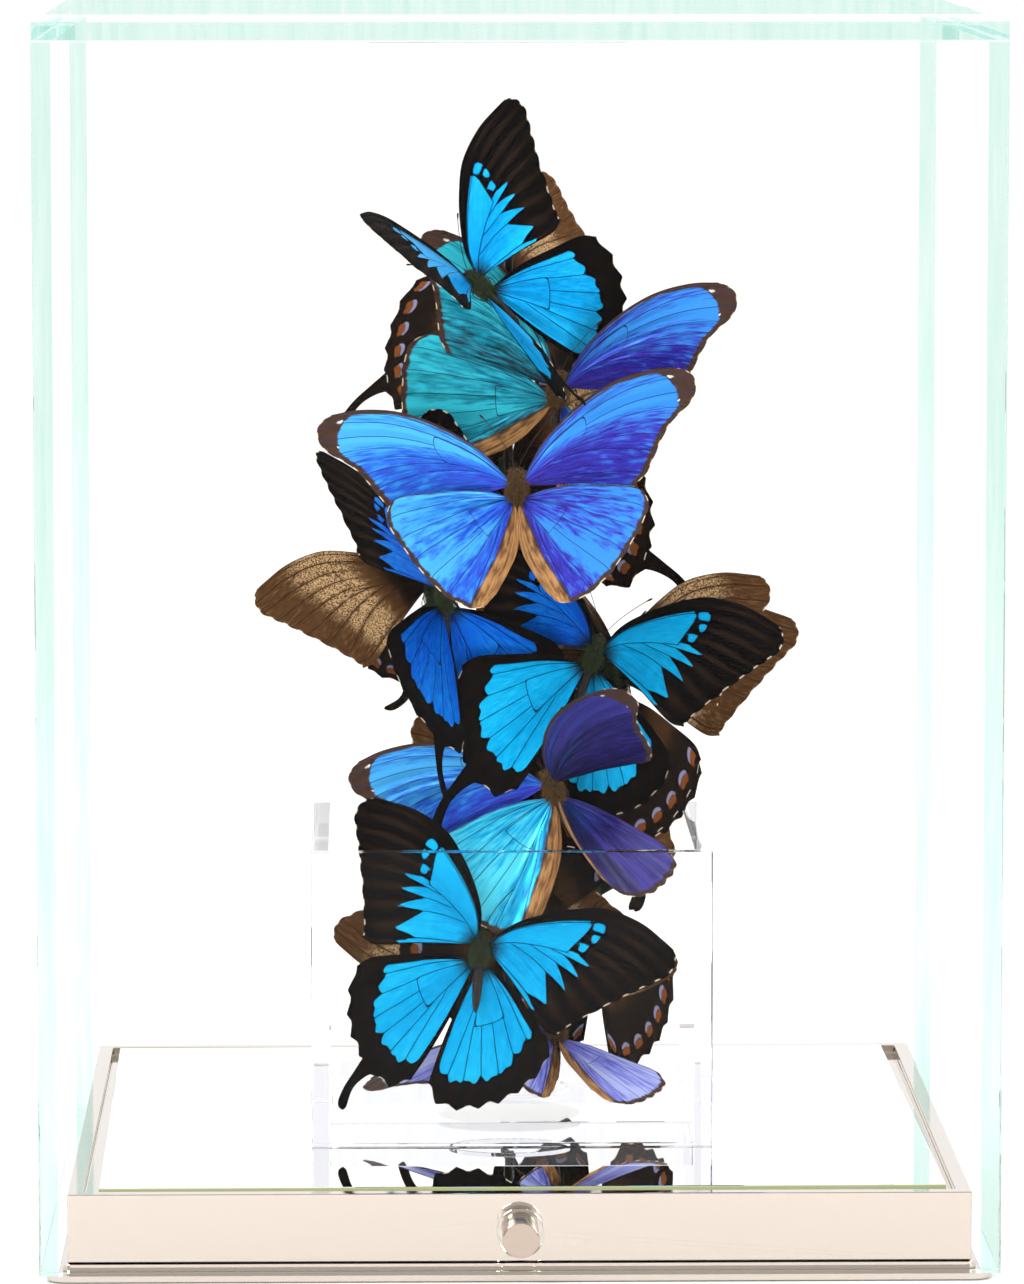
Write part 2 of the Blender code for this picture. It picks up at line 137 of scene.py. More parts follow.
bpy.ops.mesh.primitive_plane_add(size=FLOOR_SIZE, location=(0, 0, -FLOOR_DROP))
floor = bpy.context.active_object
floor.name = "studio_floor"

# Matt white paper with a faint painted glow, FLOOR_GLOW: it takes soft shadows and has no gleam
paper, _, _ = finish_named("white_paper", {
    "Base Color": linear("#FCFCFA"), "Roughness": 0.9,
    "Emission Color": (1, 1, 1, 1), "Emission Strength": FLOOR_GLOW})
floor.data.materials.append(paper)
print("floor:", FLOOR_SIZE, "m wide")

# %% Make the room
ROOM_STRENGTH = 1.2
ROOM_FRONT, ROOM_BACK = "#C4C0BC", "#FFFFFF"

world = bpy.data.worlds.new("white_room")
bpy.context.scene.world = world
world.use_nodes = True
room = world.node_tree
room.nodes.clear()
depth = add(room, "SeparateXYZ", {0: add(room, "TexCoord", output="Generated")}, output=1)
back = add(room, "MapRange", {0: depth, 1: -0.9, 2: 0.1, 3: 0.0, 4: 1.0},
           interpolation_type="SMOOTHSTEP")
shade = add(room, "Mix", {0: back, 6: linear(ROOM_FRONT), 7: linear(ROOM_BACK)}, output=2,
            data_type="RGBA")
add(room, "OutputWorld", {0: add(room, "Background", {0: shade, 1: ROOM_STRENGTH})})
print("room:", ROOM_FRONT, "in front to", ROOM_BACK, "behind")

# %% [markdown]
# ## Lights
#
# Two broad square lights give the wings their shape: a strong one from the upper left and a
# weaker one from the right. Small lamps would put hard specks on the steel. A ray crosses up
# to ten faces of clear panes before it meets the room, so Cycles is allowed more
# see-through faces than its usual eight.

# %% Make the lights
LIGHT_TARGET = (0, 0, 0.2)   # m, the middle of the column of butterflies
LIGHT_WIDTH = 0.9            # m
CLEAR_FACES = 40
bpy.context.scene.cycles.transparent_max_bounces = CLEAR_FACES


def soft_light(name, place, power):
    """Square area light that faces the target, with its power in watts."""
    lamp = bpy.data.lights.new(name, "AREA")
    lamp.shape = "SQUARE"
    lamp.size = LIGHT_WIDTH
    lamp.energy = power
    thing = bpy.data.objects.new(name, lamp)
    bpy.context.scene.collection.objects.link(thing)
    thing.location = place
    thing.rotation_mode = "QUATERNION"
    thing.rotation_quaternion = (Vector(LIGHT_TARGET) - Vector(place)).to_track_quat("-Z", "Y")
    print(name, "gives", power, "W from", place)


soft_light("key_light", (-1.3, -1.5, 1.5), 34)
soft_light("fill_light", (1.5, -1.1, 0.8), 15)

# %% [markdown]
# ## Glass and acrylic
#
# Float glass is clear through its face but green along its edge, because light from the edge
# has crossed the whole pane. It could be made as a tinted volume, but then a side pane seen
# along its length turns turquoise. So only the ground edge is tinted, a little unevenly, as
# the grinding wheel left it. Acrylic does the same with almost no colour. A clean pane in a
# white room hardly shows its faces, so there the finish is almost fully see-through, and
# lamps light the wings straight through it. Only the edges refract with full strength.
# Which face is an edge is written on the mesh as an attribute.

# %% Clear finishes
PANE_GLOSS = 0.04            # the white room's full mirror image would veil the black wings
GRIND = (450, 450, 25)       # per metre: streaks 2.2 mm wide and 40 mm long, up the edge


def clear_finish(name, ior, pale, deep):
    """Clear solid. A broad face is see-through, with a faint mirror as strong as Fresnel's
    law says times PANE_GLOSS. An edge is metallic 0 and refracts. Its tint wanders between
    two colours in streaks that run along Z."""
    material, tree, shader = finish_named(name, {
        "Base Color": (1, 1, 1, 1), "Roughness": 0.0, "IOR": ior, "Transmission Weight": 1.0})
    face = add(tree, "Math", {0: 1.0, 1: "ground_edge"}, operation="SUBTRACT")
    tree.links.new(face, shader.inputs["Metallic"])
    drawn = add(tree, "Mapping", {
        "Vector": add(tree, "TexCoord", output="Object"), "Scale": GRIND})
    streaks = add(tree, "TexNoise", {"Vector": drawn, "Scale": 1.0})
    tint = add(tree, "Mix", {0: streaks, 6: linear(pale), 7: linear(deep)}, output=2,
               data_type="RGBA")
    colour = add(tree, "Mix", {0: "ground_edge", 6: (1, 1, 1, 1), 7: tint}, output=2,
                 data_type="RGBA")
    tree.links.new(colour, shader.inputs["Base Color"])
    mirror = add(tree, "Fresnel", {"IOR": ior})
    faint = add(tree, "Math", {0: mirror, 1: PANE_GLOSS}, operation="MULTIPLY")
    alpha = add(tree, "Mix", {0: "ground_edge", 2: faint, 3: 1.0})
    tree.links.new(alpha, shader.inputs["Alpha"])
    return material


# Float glass, cut and ground: faces that vanish, edges in a pale sea green
FLOAT_GLASS = clear_finish("float_glass", 1.5, "#CDEDE6", "#8CCFC0")

# Cast acrylic, sawn and flame-polished: like glass, but its edges are a pale cool grey
CAST_ACRYLIC = clear_finish("cast_acrylic", 1.49, "#F0F0F4", "#DCDCE6")

# A disc of clear adhesive: a faint soft haze between the box and the mirror
ADHESIVE, _, _ = finish_named("clear_adhesive", {
    "Base Color": linear("#FAFAF8"), "Roughness": 0.5, "IOR": 1.45, "Alpha": 0.08})
print("clear finishes:", FLOAT_GLASS.name, CAST_ACRYLIC.name, ADHESIVE.name)

# %% [markdown]
# ## Steel and mirror
#
# The plinth is stainless steel sheet, ground along its length and buffed until it mirrors.
# A flat metal with one roughness looks like plastic foil. So the roughness wanders with a
# noise drawn out along the grain, and the same noise lifts the surface by a hair. The
# mirror plate is glass silvered underneath. A true layer of glass over silver would cost
# many more bounces, so its top is simply a clean metal and its edge a green dielectric.

# %% Steel finishes
def polished_steel(name, colour, roughness, grain_mm):
    """Steel, ground and buffed. Fine grain runs along X: it is too fine to see as lines, so
    it shows as slow changes of gloss."""
    material, tree, shader = finish_named(name, {
        "Base Color": linear(colour), "Metallic": 1.0, "Roughness": roughness})
    drawn = add(tree, "Mapping", {
        "Vector": add(tree, "TexCoord", output="Object"),
        "Scale": (8, 1 / (grain_mm * MM), 1 / (grain_mm * MM))})
    grain = add(tree, "TexNoise", {"Vector": drawn, "Scale": 1.0, "Detail": 3.0})
    gloss = add(tree, "MapRange", {
        0: grain, 1: 0.3, 2: 0.7, 3: roughness * 0.7, 4: roughness * 1.5})
    tree.links.new(gloss, shader.inputs["Roughness"])
    bump = add(tree, "Bump", {"Height": grain, "Strength": 0.03, "Distance": 0.02 * MM})
    tree.links.new(bump, shader.inputs["Normal"])
    return material


# Stainless steel sheet, buffed: a warm beige mirror, slightly soft
STEEL = polished_steel("buffed_stainless_steel", "#CCC1B8", 0.06, 1.5)

# Stainless steel from the lathe: duller and darker, so that its light spreads in cones
SPUN = polished_steel("spun_stainless_steel", "#B9A89C", 0.16, 0.6)

# Blackened steel wire: a thin dark oxide that hides among dark wings
WIRE = polished_steel("blackened_steel_wire", "#2A2622", 0.4, 1.5)
print("steel finishes:", STEEL.name, SPUN.name, WIRE.name)

# %% Mirror finish
# Silvered glass: a clean mirror on top, green glass along its edge
SILVERED, silver_tree, silver_shader = finish_named("silvered_glass", {
    "Base Color": linear("#F2F5F3"), "Metallic": 1.0, "Roughness": 0.015})
up = add(silver_tree, "SeparateXYZ", {
    0: add(silver_tree, "NewGeometry", output="Normal")}, output=2)
on_top = add(silver_tree, "Math", {0: up, 1: 0.5}, operation="GREATER_THAN")
silver_colour = add(silver_tree, "Mix", {
    0: on_top, 6: linear("#B4BC90"), 7: linear("#F6F7F5")}, output=2, data_type="RGBA")
silver_tree.links.new(silver_colour, silver_shader.inputs["Base Color"])
silver_tree.links.new(on_top, silver_shader.inputs["Metallic"])
print("mirror finish:", SILVERED.name)

# %% [markdown]
# ## The case
#
# The frame's panes and plates have knife edges. Real ones have an arris: the sharp corner is
# ground off by a fraction of a millimetre, and it catches light. Modelling each plate again
# would risk its place, so each piece is a copy of its frame node, merged by a Weld and
# finished by a small Bevel. Faces that look along the plate's thin direction are its broad
# faces, and all others are marked as edges.

# %% Bevelled copies of the case's plates
WELD_GAP = 0.01              # mm
ARRIS_STEPS = 2
ARRIS_ANGLE = 40             # degrees, past which a corner is ground


def arrised(node, width_mm, material):
    """Copy of a frame node whose edges are ground by a given width."""
    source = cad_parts[node]
    piece = source.copy()
    piece.data = source.data.copy()
    piece.name = node + "_finished"
    bpy.context.scene.collection.objects.link(piece)
    low, high = (np.array(corner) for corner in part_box(node))
    thin = np.argmin(high - low)
    normals = np.empty(len(piece.data.polygons) * 3, np.float32)
    piece.data.polygons.foreach_get("normal", normals)
    edge = (abs(normals.reshape(-1, 3)[:, thin]) < 0.5).astype(np.float32)
    piece.data.attributes.new("ground_edge", "FLOAT", "FACE").data.foreach_set("value", edge)
    weld = piece.modifiers.new("Weld", "WELD")
    weld.merge_threshold = WELD_GAP * MM
    bevel = piece.modifiers.new("Arris", "BEVEL")
    bevel.width = width_mm * MM
    bevel.segments = ARRIS_STEPS
    bevel.limit_method = "ANGLE"
    bevel.angle_limit = math.radians(ARRIS_ANGLE)
    piece.data.materials.clear()
    piece.data.materials.append(material)
    piece.data.shade_flat()
    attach(piece, "root")
    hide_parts(node)
    return piece


for pane in ("front", "back", "left", "right", "top"):
    arrised("glass_" + pane, 0.35, FLOAT_GLASS)
for wall in ("front", "back", "left", "right", "floor"):
    arrised("box_" + wall, 0.25, CAST_ACRYLIC)
arrised("foot_disc", 0.2, CAST_ACRYLIC)
arrised("base_plate", 0.3, STEEL)
arrised("plinth", 0.3, STEEL)
arrised("mirror_plate", 0.4, SILVERED)
for node, material in (("box_pad", ADHESIVE), ("stem", WIRE)):
    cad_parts[node].data.materials.clear()
    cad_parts[node].data.materials.append(material)

# %% [markdown]
# ## The lock screw
#
# A thumb screw is turned on a lathe, so it is made the same way: an outline of radius and
# depth is swept round the axis. A Screw modifier could sweep it too, but as arrays the end
# caps close by themselves. The cutting tool leaves rings on the face. They are real here, a
# fortieth of a millimetre deep, and they draw light out into two bright cones.

# %% Outline and faces of the lock screw
HEAD_LENGTH = 17.2           # mm, through the pane, up to the plinth
SHANK_LENGTH = 6.0           # mm, threaded, into the plinth
FACE_RINGS = 53
RING_DEPTH = 0.025           # mm
THREAD_STEPS = 60
THREAD_PITCH = 0.8           # mm


def ring_faces(rings, sides):
    """Quads round a stack of closed rings, and a fan at each end. Point k of ring n joins
    point k + 1 of it and the same two of ring n + 1. A triangle's fourth corner is -1."""
    corner = np.arange(rings - 1)[:, None] * sides + np.arange(sides)[None]
    beside = np.arange(rings - 1)[:, None] * sides + (np.arange(sides)[None] + 1) % sides
    quads = np.stack([corner, beside, beside + sides, corner + sides], 2).reshape(-1, 4)
    fan = np.arange(1, sides - 1)
    none, last = np.full(sides - 2, -1), (rings - 1) * sides
    start = np.stack([np.zeros_like(fan), fan + 1, fan, none], 1)
    end = np.stack([np.full_like(fan, last), last + fan, last + fan + 1, none], 1)
    return np.vstack([quads, start, end])


def lock_screw_outline():
    """Radius and depth in mm: ringed face, chamfer, head with one groove, back, shank with
    a thread whose radius waves as 2.375 + 0.125 cos(2 pi depth / pitch), and its end."""
    face = np.linspace(0.02, 5.2, FACE_RINGS)
    rings = np.stack([face, RING_DEPTH * (np.arange(FACE_RINGS) % 2)], 1)
    head = np.array([(5.25, 0), (5.68, 0.28), (5.75, 0.5), (5.75, 1.6), (5.6, 1.7), (5.6, 1.9),
                     (5.75, 2.0), (5.75, HEAD_LENGTH - 0.3), (5.5, HEAD_LENGTH),
                     (2.5, HEAD_LENGTH)])
    depth = np.linspace(0.1, SHANK_LENGTH - 0.3, THREAD_STEPS)
    thread = np.stack([2.375 + 0.125 * np.cos(2 * math.pi * depth / THREAD_PITCH),
                       HEAD_LENGTH + depth], 1)
    end = np.array([(2.1, HEAD_LENGTH + SHANK_LENGTH), (0.02, HEAD_LENGTH + SHANK_LENGTH)])
    return np.vstack([rings, head, thread, end])


# %% Turn the lock screw
SCREW_AXIS = (0.0, 15.0)     # x and z of the axis in mm
SCREW_FACE = -159.0          # y of the head's face in mm
SCREW_SIDES = 96
SCREW_SHARP = 35             # degrees, past which an edge is shaded sharp

outline = lock_screw_outline()
angle = np.linspace(0, 2 * math.pi, SCREW_SIDES, endpoint=False)
turned = np.stack([
    SCREW_AXIS[0] + outline[:, :1] * np.cos(angle),
    SCREW_FACE + np.repeat(outline[:, 1:], SCREW_SIDES, 1),
    SCREW_AXIS[1] + outline[:, :1] * np.sin(angle)], 2).reshape(-1, 3) * MM
screw_faces = [[corner for corner in face if corner >= 0]
               for face in ring_faces(len(outline), SCREW_SIDES)[:, ::-1].tolist()]
screw_mesh = bpy.data.meshes.new("lock_screw_turned")
screw_mesh.from_pydata(turned.tolist(), [], screw_faces)
screw_mesh.materials.append(SPUN)
screw_mesh.shade_smooth()
screw_mesh.set_sharp_from_angle(angle=math.radians(SCREW_SHARP))
screw = bpy.data.objects.new("lock_screw_turned", screw_mesh)
bpy.context.scene.collection.objects.link(screw)
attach(screw, "root")
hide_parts("lock_screw")
print("lock screw faces:", len(screw_mesh.polygons))


# %% [markdown]
# ## Wings: outlines and veins
#
# A wing is a thin skin stretched over veins that run from the root to the margin. Almost
# every mark on it sits between two veins, so the wing is built in "vein space": r runs from
# the root (0) to the margin (1), and t runs from the leading edge (0) to the inner edge (1).
# A flat outline filled with triangles would have no such directions, and each mark would
# have to be drawn by hand. Here a mark is a simple rule in vein space, and it follows the
# wing's form.

# %% Curves through points
SPAN_STEPS = 20


def smooth_path(points, fractions):
    """Catmull-Rom curve read at fractions of its length. Each span is the cubic whose end
    slopes are half the chord between the neighbours of that end."""
    p = np.array(points, float)
    p = np.vstack([2 * p[0] - p[1], p, 2 * p[-1] - p[-2]])
    u = np.linspace(0, 1, SPAN_STEPS, endpoint=False)[:, None, None]
    a, b, c, d = p[:-3], p[1:-2], p[2:-1], p[3:]
    spans = 0.5 * (2 * b + (c - a) * u + (2 * a - 5 * b + 4 * c - d) * u ** 2
                   + (3 * b - a - 3 * c + d) * u ** 3)
    curve = np.vstack([spans.transpose(1, 0, 2).reshape(-1, 2), p[-2]])
    run = np.append(0, np.cumsum(np.linalg.norm(np.diff(curve, axis=0), axis=1)))
    at = np.asarray(fractions) * run[-1]
    return np.stack([np.interp(at, run, curve[:, 0]), np.interp(at, run, curve[:, 1])], 1)


def smooth_step(x, low, high):
    """Rises from 0 at low to 1 at high with level ends: 3 s^2 - 2 s^3."""
    s = np.clip((x - low) / (high - low), 0, 1)
    return s * s * (3 - 2 * s)


# %% [markdown]
# ## Wings: plans
#
# Each kind of wing has its own plan, as a tailor's pattern. Three curves give the outline,
# in wing lengths: the leading edge, the margin and the inner edge. Ends are the veins'
# places along the margin. Cell is the closed space between the veins near the root, as
# (front vein, rear vein, its end). Forks are the veins that leave the cell's rear vein, as
# (vein number, place along it). Lobe is how far the margin is drawn in at each gap. A few
# points through a smooth curve are easier to correct than a long list of drawn ones.

# %% Plans of the swallowtail's wings
Plan = namedtuple("Plan", "leading margin inner ends cell forks lobe tail_vein")
SWALLOWTAIL_FORE = Plan(
    leading=((0, 0), (0.13, -0.12), (0.28, -0.185), (0.45, -0.225), (0.62, -0.235),
             (0.8, -0.175), (0.93, -0.085), (0.985, -0.04)),
    margin=((0.985, -0.04), (1, 0.01), (0.97, 0.09), (0.83, 0.17), (0.63, 0.285),
            (0.46, 0.395), (0.41, 0.44)),
    inner=((0, 0), (0.06, 0.05), (0.2, 0.22), (0.33, 0.4), (0.41, 0.44)),
    ends=(0, 0.03, 0.1, 0.2, 0.31, 0.42, 0.54, 0.69, 0.84, 0.95, 1),
    cell=(0.12, 0.46, 0.56), forks=((6, 0.46), (7, 0.34), (8, 0.2)), lobe=0.006,
    tail_vein=None)
SWALLOWTAIL_HIND = Plan(
    leading=((0, 0), (0.14, -0.205), (0.31, -0.36), (0.47, -0.49), (0.58, -0.52)),
    margin=((0.58, -0.52), (0.7, -0.47), (0.81, -0.38), (0.91, -0.26), (0.975, -0.11),
            (1.01, 0.05), (0.98, 0.2), (0.85, 0.26)),
    inner=((0, 0), (0.33, 0.13), (0.61, 0.21), (0.85, 0.26)),
    ends=(0, 0.16, 0.31, 0.45, 0.58, 0.72, 0.86, 1),
    cell=(0.3, 0.66, 0.46), forks=((5, 0.4), (6, 0.28)), lobe=0.03, tail_vein=4)

# %% Plans of the Morpho's wings
MORPHO_FORE = Plan(
    leading=((0, 0), (0.19, -0.11), (0.35, -0.16), (0.51, -0.184), (0.667, -0.18),
             (0.83, -0.1375), (0.95, -0.077)),
    margin=((0.95, -0.077), (0.99, -0.03), (1, 0.02), (0.983, 0.058), (0.928, 0.104),
            (0.793, 0.138), (0.694, 0.192), (0.564, 0.279), (0.474, 0.305)),
    inner=((0, 0), (0.12, 0.08), (0.25, 0.15), (0.474, 0.305)),
    ends=(0, 0.05, 0.13, 0.24, 0.36, 0.48, 0.6, 0.73, 0.88, 1),
    cell=(0.14, 0.5, 0.45), forks=((6, 0.4), (7, 0.25)), lobe=0.003, tail_vein=None)
MORPHO_HIND = Plan(
    leading=((0, 0), (0.13, -0.18), (0.3, -0.34), (0.6, -0.55), (0.72, -0.6)),
    margin=((0.72, -0.6), (0.82, -0.58), (0.9, -0.49), (0.955, -0.33), (1, -0.12),
            (0.996, 0.077), (0.95, 0.2), (0.86, 0.285), (0.7, 0.3)),
    inner=((0, 0), (0.1, 0.1), (0.3, 0.22), (0.5, 0.27), (0.7, 0.3)),
    ends=(0, 0.13, 0.26, 0.39, 0.52, 0.65, 0.79, 0.9, 1),
    cell=(0.28, 0.6, 0.42), forks=((5, 0.36), (6, 0.24)), lobe=0.012, tail_vein=None)
print("veins of each wing:", [len(plan.ends) for plan in (SWALLOWTAIL_FORE, SWALLOWTAIL_HIND,
                                                          MORPHO_FORE, MORPHO_HIND)])

# %% [markdown]
# ## Wings: vein space
#
# The surface between the outline curves is a Coons patch, the standard way to fill a
# four-sided outline: here one side, the root, has shrunk to a point. The veins bend through
# it. Counting them from the leading edge tells each point which two it lies between, and
# where. The count jumps where a vein leaves the cell, so two columns of points stand very
# close together there, and the jump stays inside a sliver too thin to see.

# %% Vein space
GRID_T, GRID_R = 84, 46      # points across a wing and along it
SEAM = 0.0004                # of the wing, between the two columns
ROOT = 0.012                 # r of the first row, so that the root keeps a little width
FORK_BEND = 0.55


def vein_grid(plan):
    """Grid of t and r. A second column beside the cell's rear vein keeps the jump of the
    vein count inside a sliver, and one row lies on the cell's end."""
    cell_rear, cell_end = plan.cell[1], plan.cell[2]
    share = round(GRID_T * cell_rear)
    t = np.concatenate([np.linspace(0, cell_rear - SEAM, share),
                        np.linspace(cell_rear + SEAM, 1, GRID_T - share)])
    r = np.linspace(ROOT, 1, GRID_R)
    nearest = np.argmin(abs(r - cell_end))
    r[nearest] = cell_end - SEAM
    return np.meshgrid(t, r, indexing="ij")


def vein_count(plan, t, r):
    """Counts the veins from the leading edge to a point, so that it is a whole number on
    each vein. Between two veins it rises evenly. A fork's place is the rear vein's up to
    the fork, and from there it moves to its own end as a power of the way, FORK_BEND."""
    places = [np.full_like(r, end) for end in plan.ends]
    rear = plan.cell[1]
    for vein, fork in plan.forks:
        way = np.clip((r - fork) / (1 - fork), 0, 1) ** FORK_BEND
        places[vein] = rear + (plan.ends[vein] - rear) * way
    count = np.zeros_like(t)
    for low, high in zip(places[:-1], places[1:]):
        count += np.clip((t - low) / np.maximum(high - low, 1e-5), 0, 1)
    return count


def coons(plan, t, r):
    """Surface between the outline curves: r times the margin, plus what each side curve
    bulges from its chord, times 1 - t for the leading edge and t for the inner edge."""
    leading = smooth_path(plan.leading, r[0])[None]
    inner = smooth_path(plan.inner, r[0])[None]
    margin = smooth_path(plan.margin, t[:, 0])[:, None]
    t, r = t[..., None], r[..., None]
    first, last = margin[:1], margin[-1:]
    return r * margin + (1 - t) * (leading - r * first) + t * (inner - r * last)


print("one side of a wing:", GRID_T, "by", GRID_R, "points")


# %% [markdown]
# ## Wings: marks
#
# Each mark is stored on the mesh as a field: a number in millimetres that is above zero
# inside the mark and below zero outside it. The shader paints where the field passes zero,
# so an edge stays sharp between the mesh's points. Plain colours on the points would blur
# over a whole quad. In these rules `place` is where a point lies between its two veins,
# from 0 to 1. `ray`, `span` and `gap` are millimetres: per unit of r, per unit of t and
# from vein to vein. `edge` is how far the margin is. Where a mark has to keep several
# limits at once, the smallest number counts, and where it has several parts, the largest.

# %% Marks on a swallowtail's upper sides
def swallowtail_fore_marks(w):
    """Blue fills the cell and ends behind it in long flames between the veins. A flame ends
    at r = 0.545 plus 0.2 times a tent that peaks at 0.64 of the gap, towards the vein
    behind it. Past the black bar at the cell's end lie small flecks, from r = 0.59 to
    0.632, moved a little from gap to gap. Pale streaks, tents round r = 0.78, lie between
    the outer veins."""
    rear = w.plan.cell[1] - 0.02
    lean = 1 - abs(w.place - 0.64) / np.where(w.place < 0.64, 0.64, 0.36)
    flame = np.where(w.t < rear, 0.555, 0.545 + 0.2 * lean ** 1.15)
    blue = np.minimum((flame - w.r) * w.ray, (w.t - 0.115) * w.span + 0.3)
    blue = np.minimum(blue, (0.99 - w.t) * w.span)
    beside = np.minimum(w.place - 0.18, 0.86 - w.place) * w.gap
    wander = 0.016 * np.sin(2.4 * np.floor(w.count)) + 0.03 * (w.place - 0.5)
    fleck = np.minimum((w.r - 0.59 - wander) * w.ray, (0.632 + 0.4 * wander - w.r) * w.ray)
    fleck = np.minimum(fleck, beside)
    fleck = np.where((w.t > 0.1) & (w.t < rear + 0.01), fleck, -1)
    streak = 1 - abs(w.place - 0.5) / 0.42 - 2.2 * abs(w.r - 0.78)
    return {"blue": np.maximum(blue, fleck), "streak": streak}


def swallowtail_hind_marks(w):
    """A fan of blue inside a broad black border. Its outer edge lies at r = 0.68, steps out
    by 0.11 towards the middle and has a rounded notch in each gap."""
    notch = 0.035 * (1 - (2 * w.place - 1) ** 4) + 0.012 * np.sin(9 * w.count)
    outer = 0.68 + 0.11 * smooth_step(w.t, 0.15, 0.5) + notch - 0.05 * smooth_step(w.t, 0.8, 1)
    blue = np.minimum((outer - w.r) * w.ray, (w.t - 0.07 - 0.06 * (1 - w.r)) * w.span)
    blue = np.minimum(blue, (0.93 - w.t) * w.span)
    streak = 0.5 - 6 * abs(w.r - 0.86) - abs(w.place - 0.5)
    return {"blue": blue, "streak": streak}


# %% Marks on a swallowtail's under sides
def swallowtail_fore_under(w):
    """Up to 0.5, a brown wash that fades towards the root. Above it, a golden grizzled
    band across the middle, broken by the veins."""
    band = smooth_step(w.r, 0.34, 0.58) * (1 - smooth_step(w.r, 0.66, 0.86))
    band = band * (1 - (2 * abs(w.place - 0.5)) ** 4)
    return {"pale": 0.5 * smooth_step(w.r, 0.18, 0.5) + 0.5 * band}


def swallowtail_hind_under(w):
    """A row of rust crescents near the margin, one between each two veins: a disc less a
    smaller disc nearer the margin. The lilac rim is a disc shifted towards the root, less
    the crescent's own."""
    across = (w.place - 0.5) * w.gap
    size = np.minimum(0.3 * w.gap, 2.8)
    low = np.hypot(across, (w.edge - 5.6) * 1.15)
    rust = np.minimum(size - low, np.hypot(across, w.edge - 2.9) - 0.62 * size)
    rim = np.hypot(across, (w.edge - 6.9) * 1.1)
    lilac = np.minimum(np.minimum(size * 1.08 - rim, low - size * 0.93), w.edge - 5.2)
    fade = np.where((w.t > 0.04) & (w.t < 0.97), 0, 5)
    pale = 0.26 * smooth_step(w.r, 0.2, 0.5) * (1 - smooth_step(w.r, 0.55, 0.72))
    return {"pale": pale, "rust": rust - fade, "lilac": lilac - fade}


# %% Marks on a Morpho's wings
def morpho_fore_marks(w):
    """Blue to within 2.2 mm of the margin. The border widens by up to 10 mm at the tip,
    where two white spots sit, discs with radii of 0.95 and 0.6 mm."""
    border = 2.2 + 10 * smooth_step(1 - w.t, 0.55, 1.0) * smooth_step(w.r, 0.6, 1)
    blue = np.minimum(w.edge - border, (w.t - 0.035 - 0.09 * w.r ** 6) * w.span)
    spots = 0.95 - np.hypot((w.r - 0.9) * w.ray, (w.t - 0.12) * w.span)
    spots = np.maximum(spots, 0.6 - np.hypot((w.r - 0.93) * w.ray, (w.t - 0.3) * w.span))
    return {"blue": blue, "spots": spots}


def morpho_hind_marks(w):
    """Blue to within 1.9 mm of the margin, and a silky tan fold along the inner edge. The
    fold starts at t = fold + 0.05 r."""
    blue = np.minimum(w.edge - 1.9, (w.t - 0.01) * w.span)
    tan = (w.t - w.fold - 0.05 * w.r) * w.span
    return {"blue": np.minimum(blue, -tan - 0.3), "tan": tan}


def morpho_under(w):
    """Two pale bands across the wing, and the distance to the middle of an eye, which lies
    in every second gap."""
    eye = np.hypot((w.r - 0.72) * w.ray, (w.place - 0.5) * w.gap)
    eye = np.where((w.count.astype(int) % 2 == 1) & (w.t > 0.15) & (w.t < 0.9), eye, 9.0)
    band = 0.5 - abs(w.r - 0.86) * 14
    return {"eye": eye, "pale": np.maximum(band, 0.4 - abs(w.r - 0.45) * 10)}


# %% [markdown]
# ## Wings: relief
#
# A dry wing is pleated: veins on the upper side stand up as ridges and the skin sinks
# between them. It also has long creases that fan out from the root, and its edges curl.
# All of this is one height above the flat wing, a sum of sines of t and r, whose phases
# come from a seeded generator, so that each wing differs and each run is the same.

# %% Height of the wing's skin
PLEAT = 0.10                 # mm
CREASE_WAVES = (3.1, 5.3, 8.7, 13.0, 21.0)
CREASE_HEIGHT = 1.6          # mm, for a single wave across the wing


def relief(w, look, random):
    """Height in mm. Pleats are PLEAT times the cosine of a full turn per vein, faded out at
    the root and inside the cell. Each crease is a sine across the wing whose height falls
    as its number of waves grows, and swells along the wing as a sine of r. The bow is r
    squared, and the curl the square of the distance from t = 0.4, times r."""
    pleat = PLEAT * np.cos(2 * math.pi * w.count) * smooth_step(w.r, 0.05, 0.3)
    outside = smooth_step(-w.cell, -0.5, 1.5)
    height = pleat * outside
    for wave in CREASE_WAVES:
        phase = random.uniform(0, 6.28)
        slant = random.uniform(-4, 4)
        swell = random.uniform(1, 3)
        crease = np.sin(wave * math.pi * w.t + slant * w.r + phase)
        height += (look.crease * CREASE_HEIGHT / wave * crease
                   * np.sin(swell * w.r * math.pi / 2 + phase))
    height *= smooth_step(w.r, 0.0, 0.25)
    height += look.bow * w.r ** 2 + look.curl * (w.t - 0.4) ** 2 * w.r
    return height


# %% [markdown]
# ## Wings: pose
#
# A pinned butterfly's wings stand at all angles. Three turns say how one is held: turn in
# the front plane, lean towards the front, and spin about its own length. They give the
# wing three axes of its own, and the flat plan is laid along the first two. An Object
# turned in the scene would do the same, but a finished piece keeps its place in its mesh.

# %% Axes of one wing
# upper names another set of blues for one wing: its butterfly's blue made lighter or darker for
# how that wing faces the light, as painted sheen and painted shade.
Wing = namedtuple("Wing", "turn lean spin scale tail upper crease fold bow curl",
                  defaults=(0, 0, 1, 1, None, 0.5, 0.74, 0.0, 0.0))
LEFT, RIGHT = 1, -1
FRONT, BACK = 1, -1


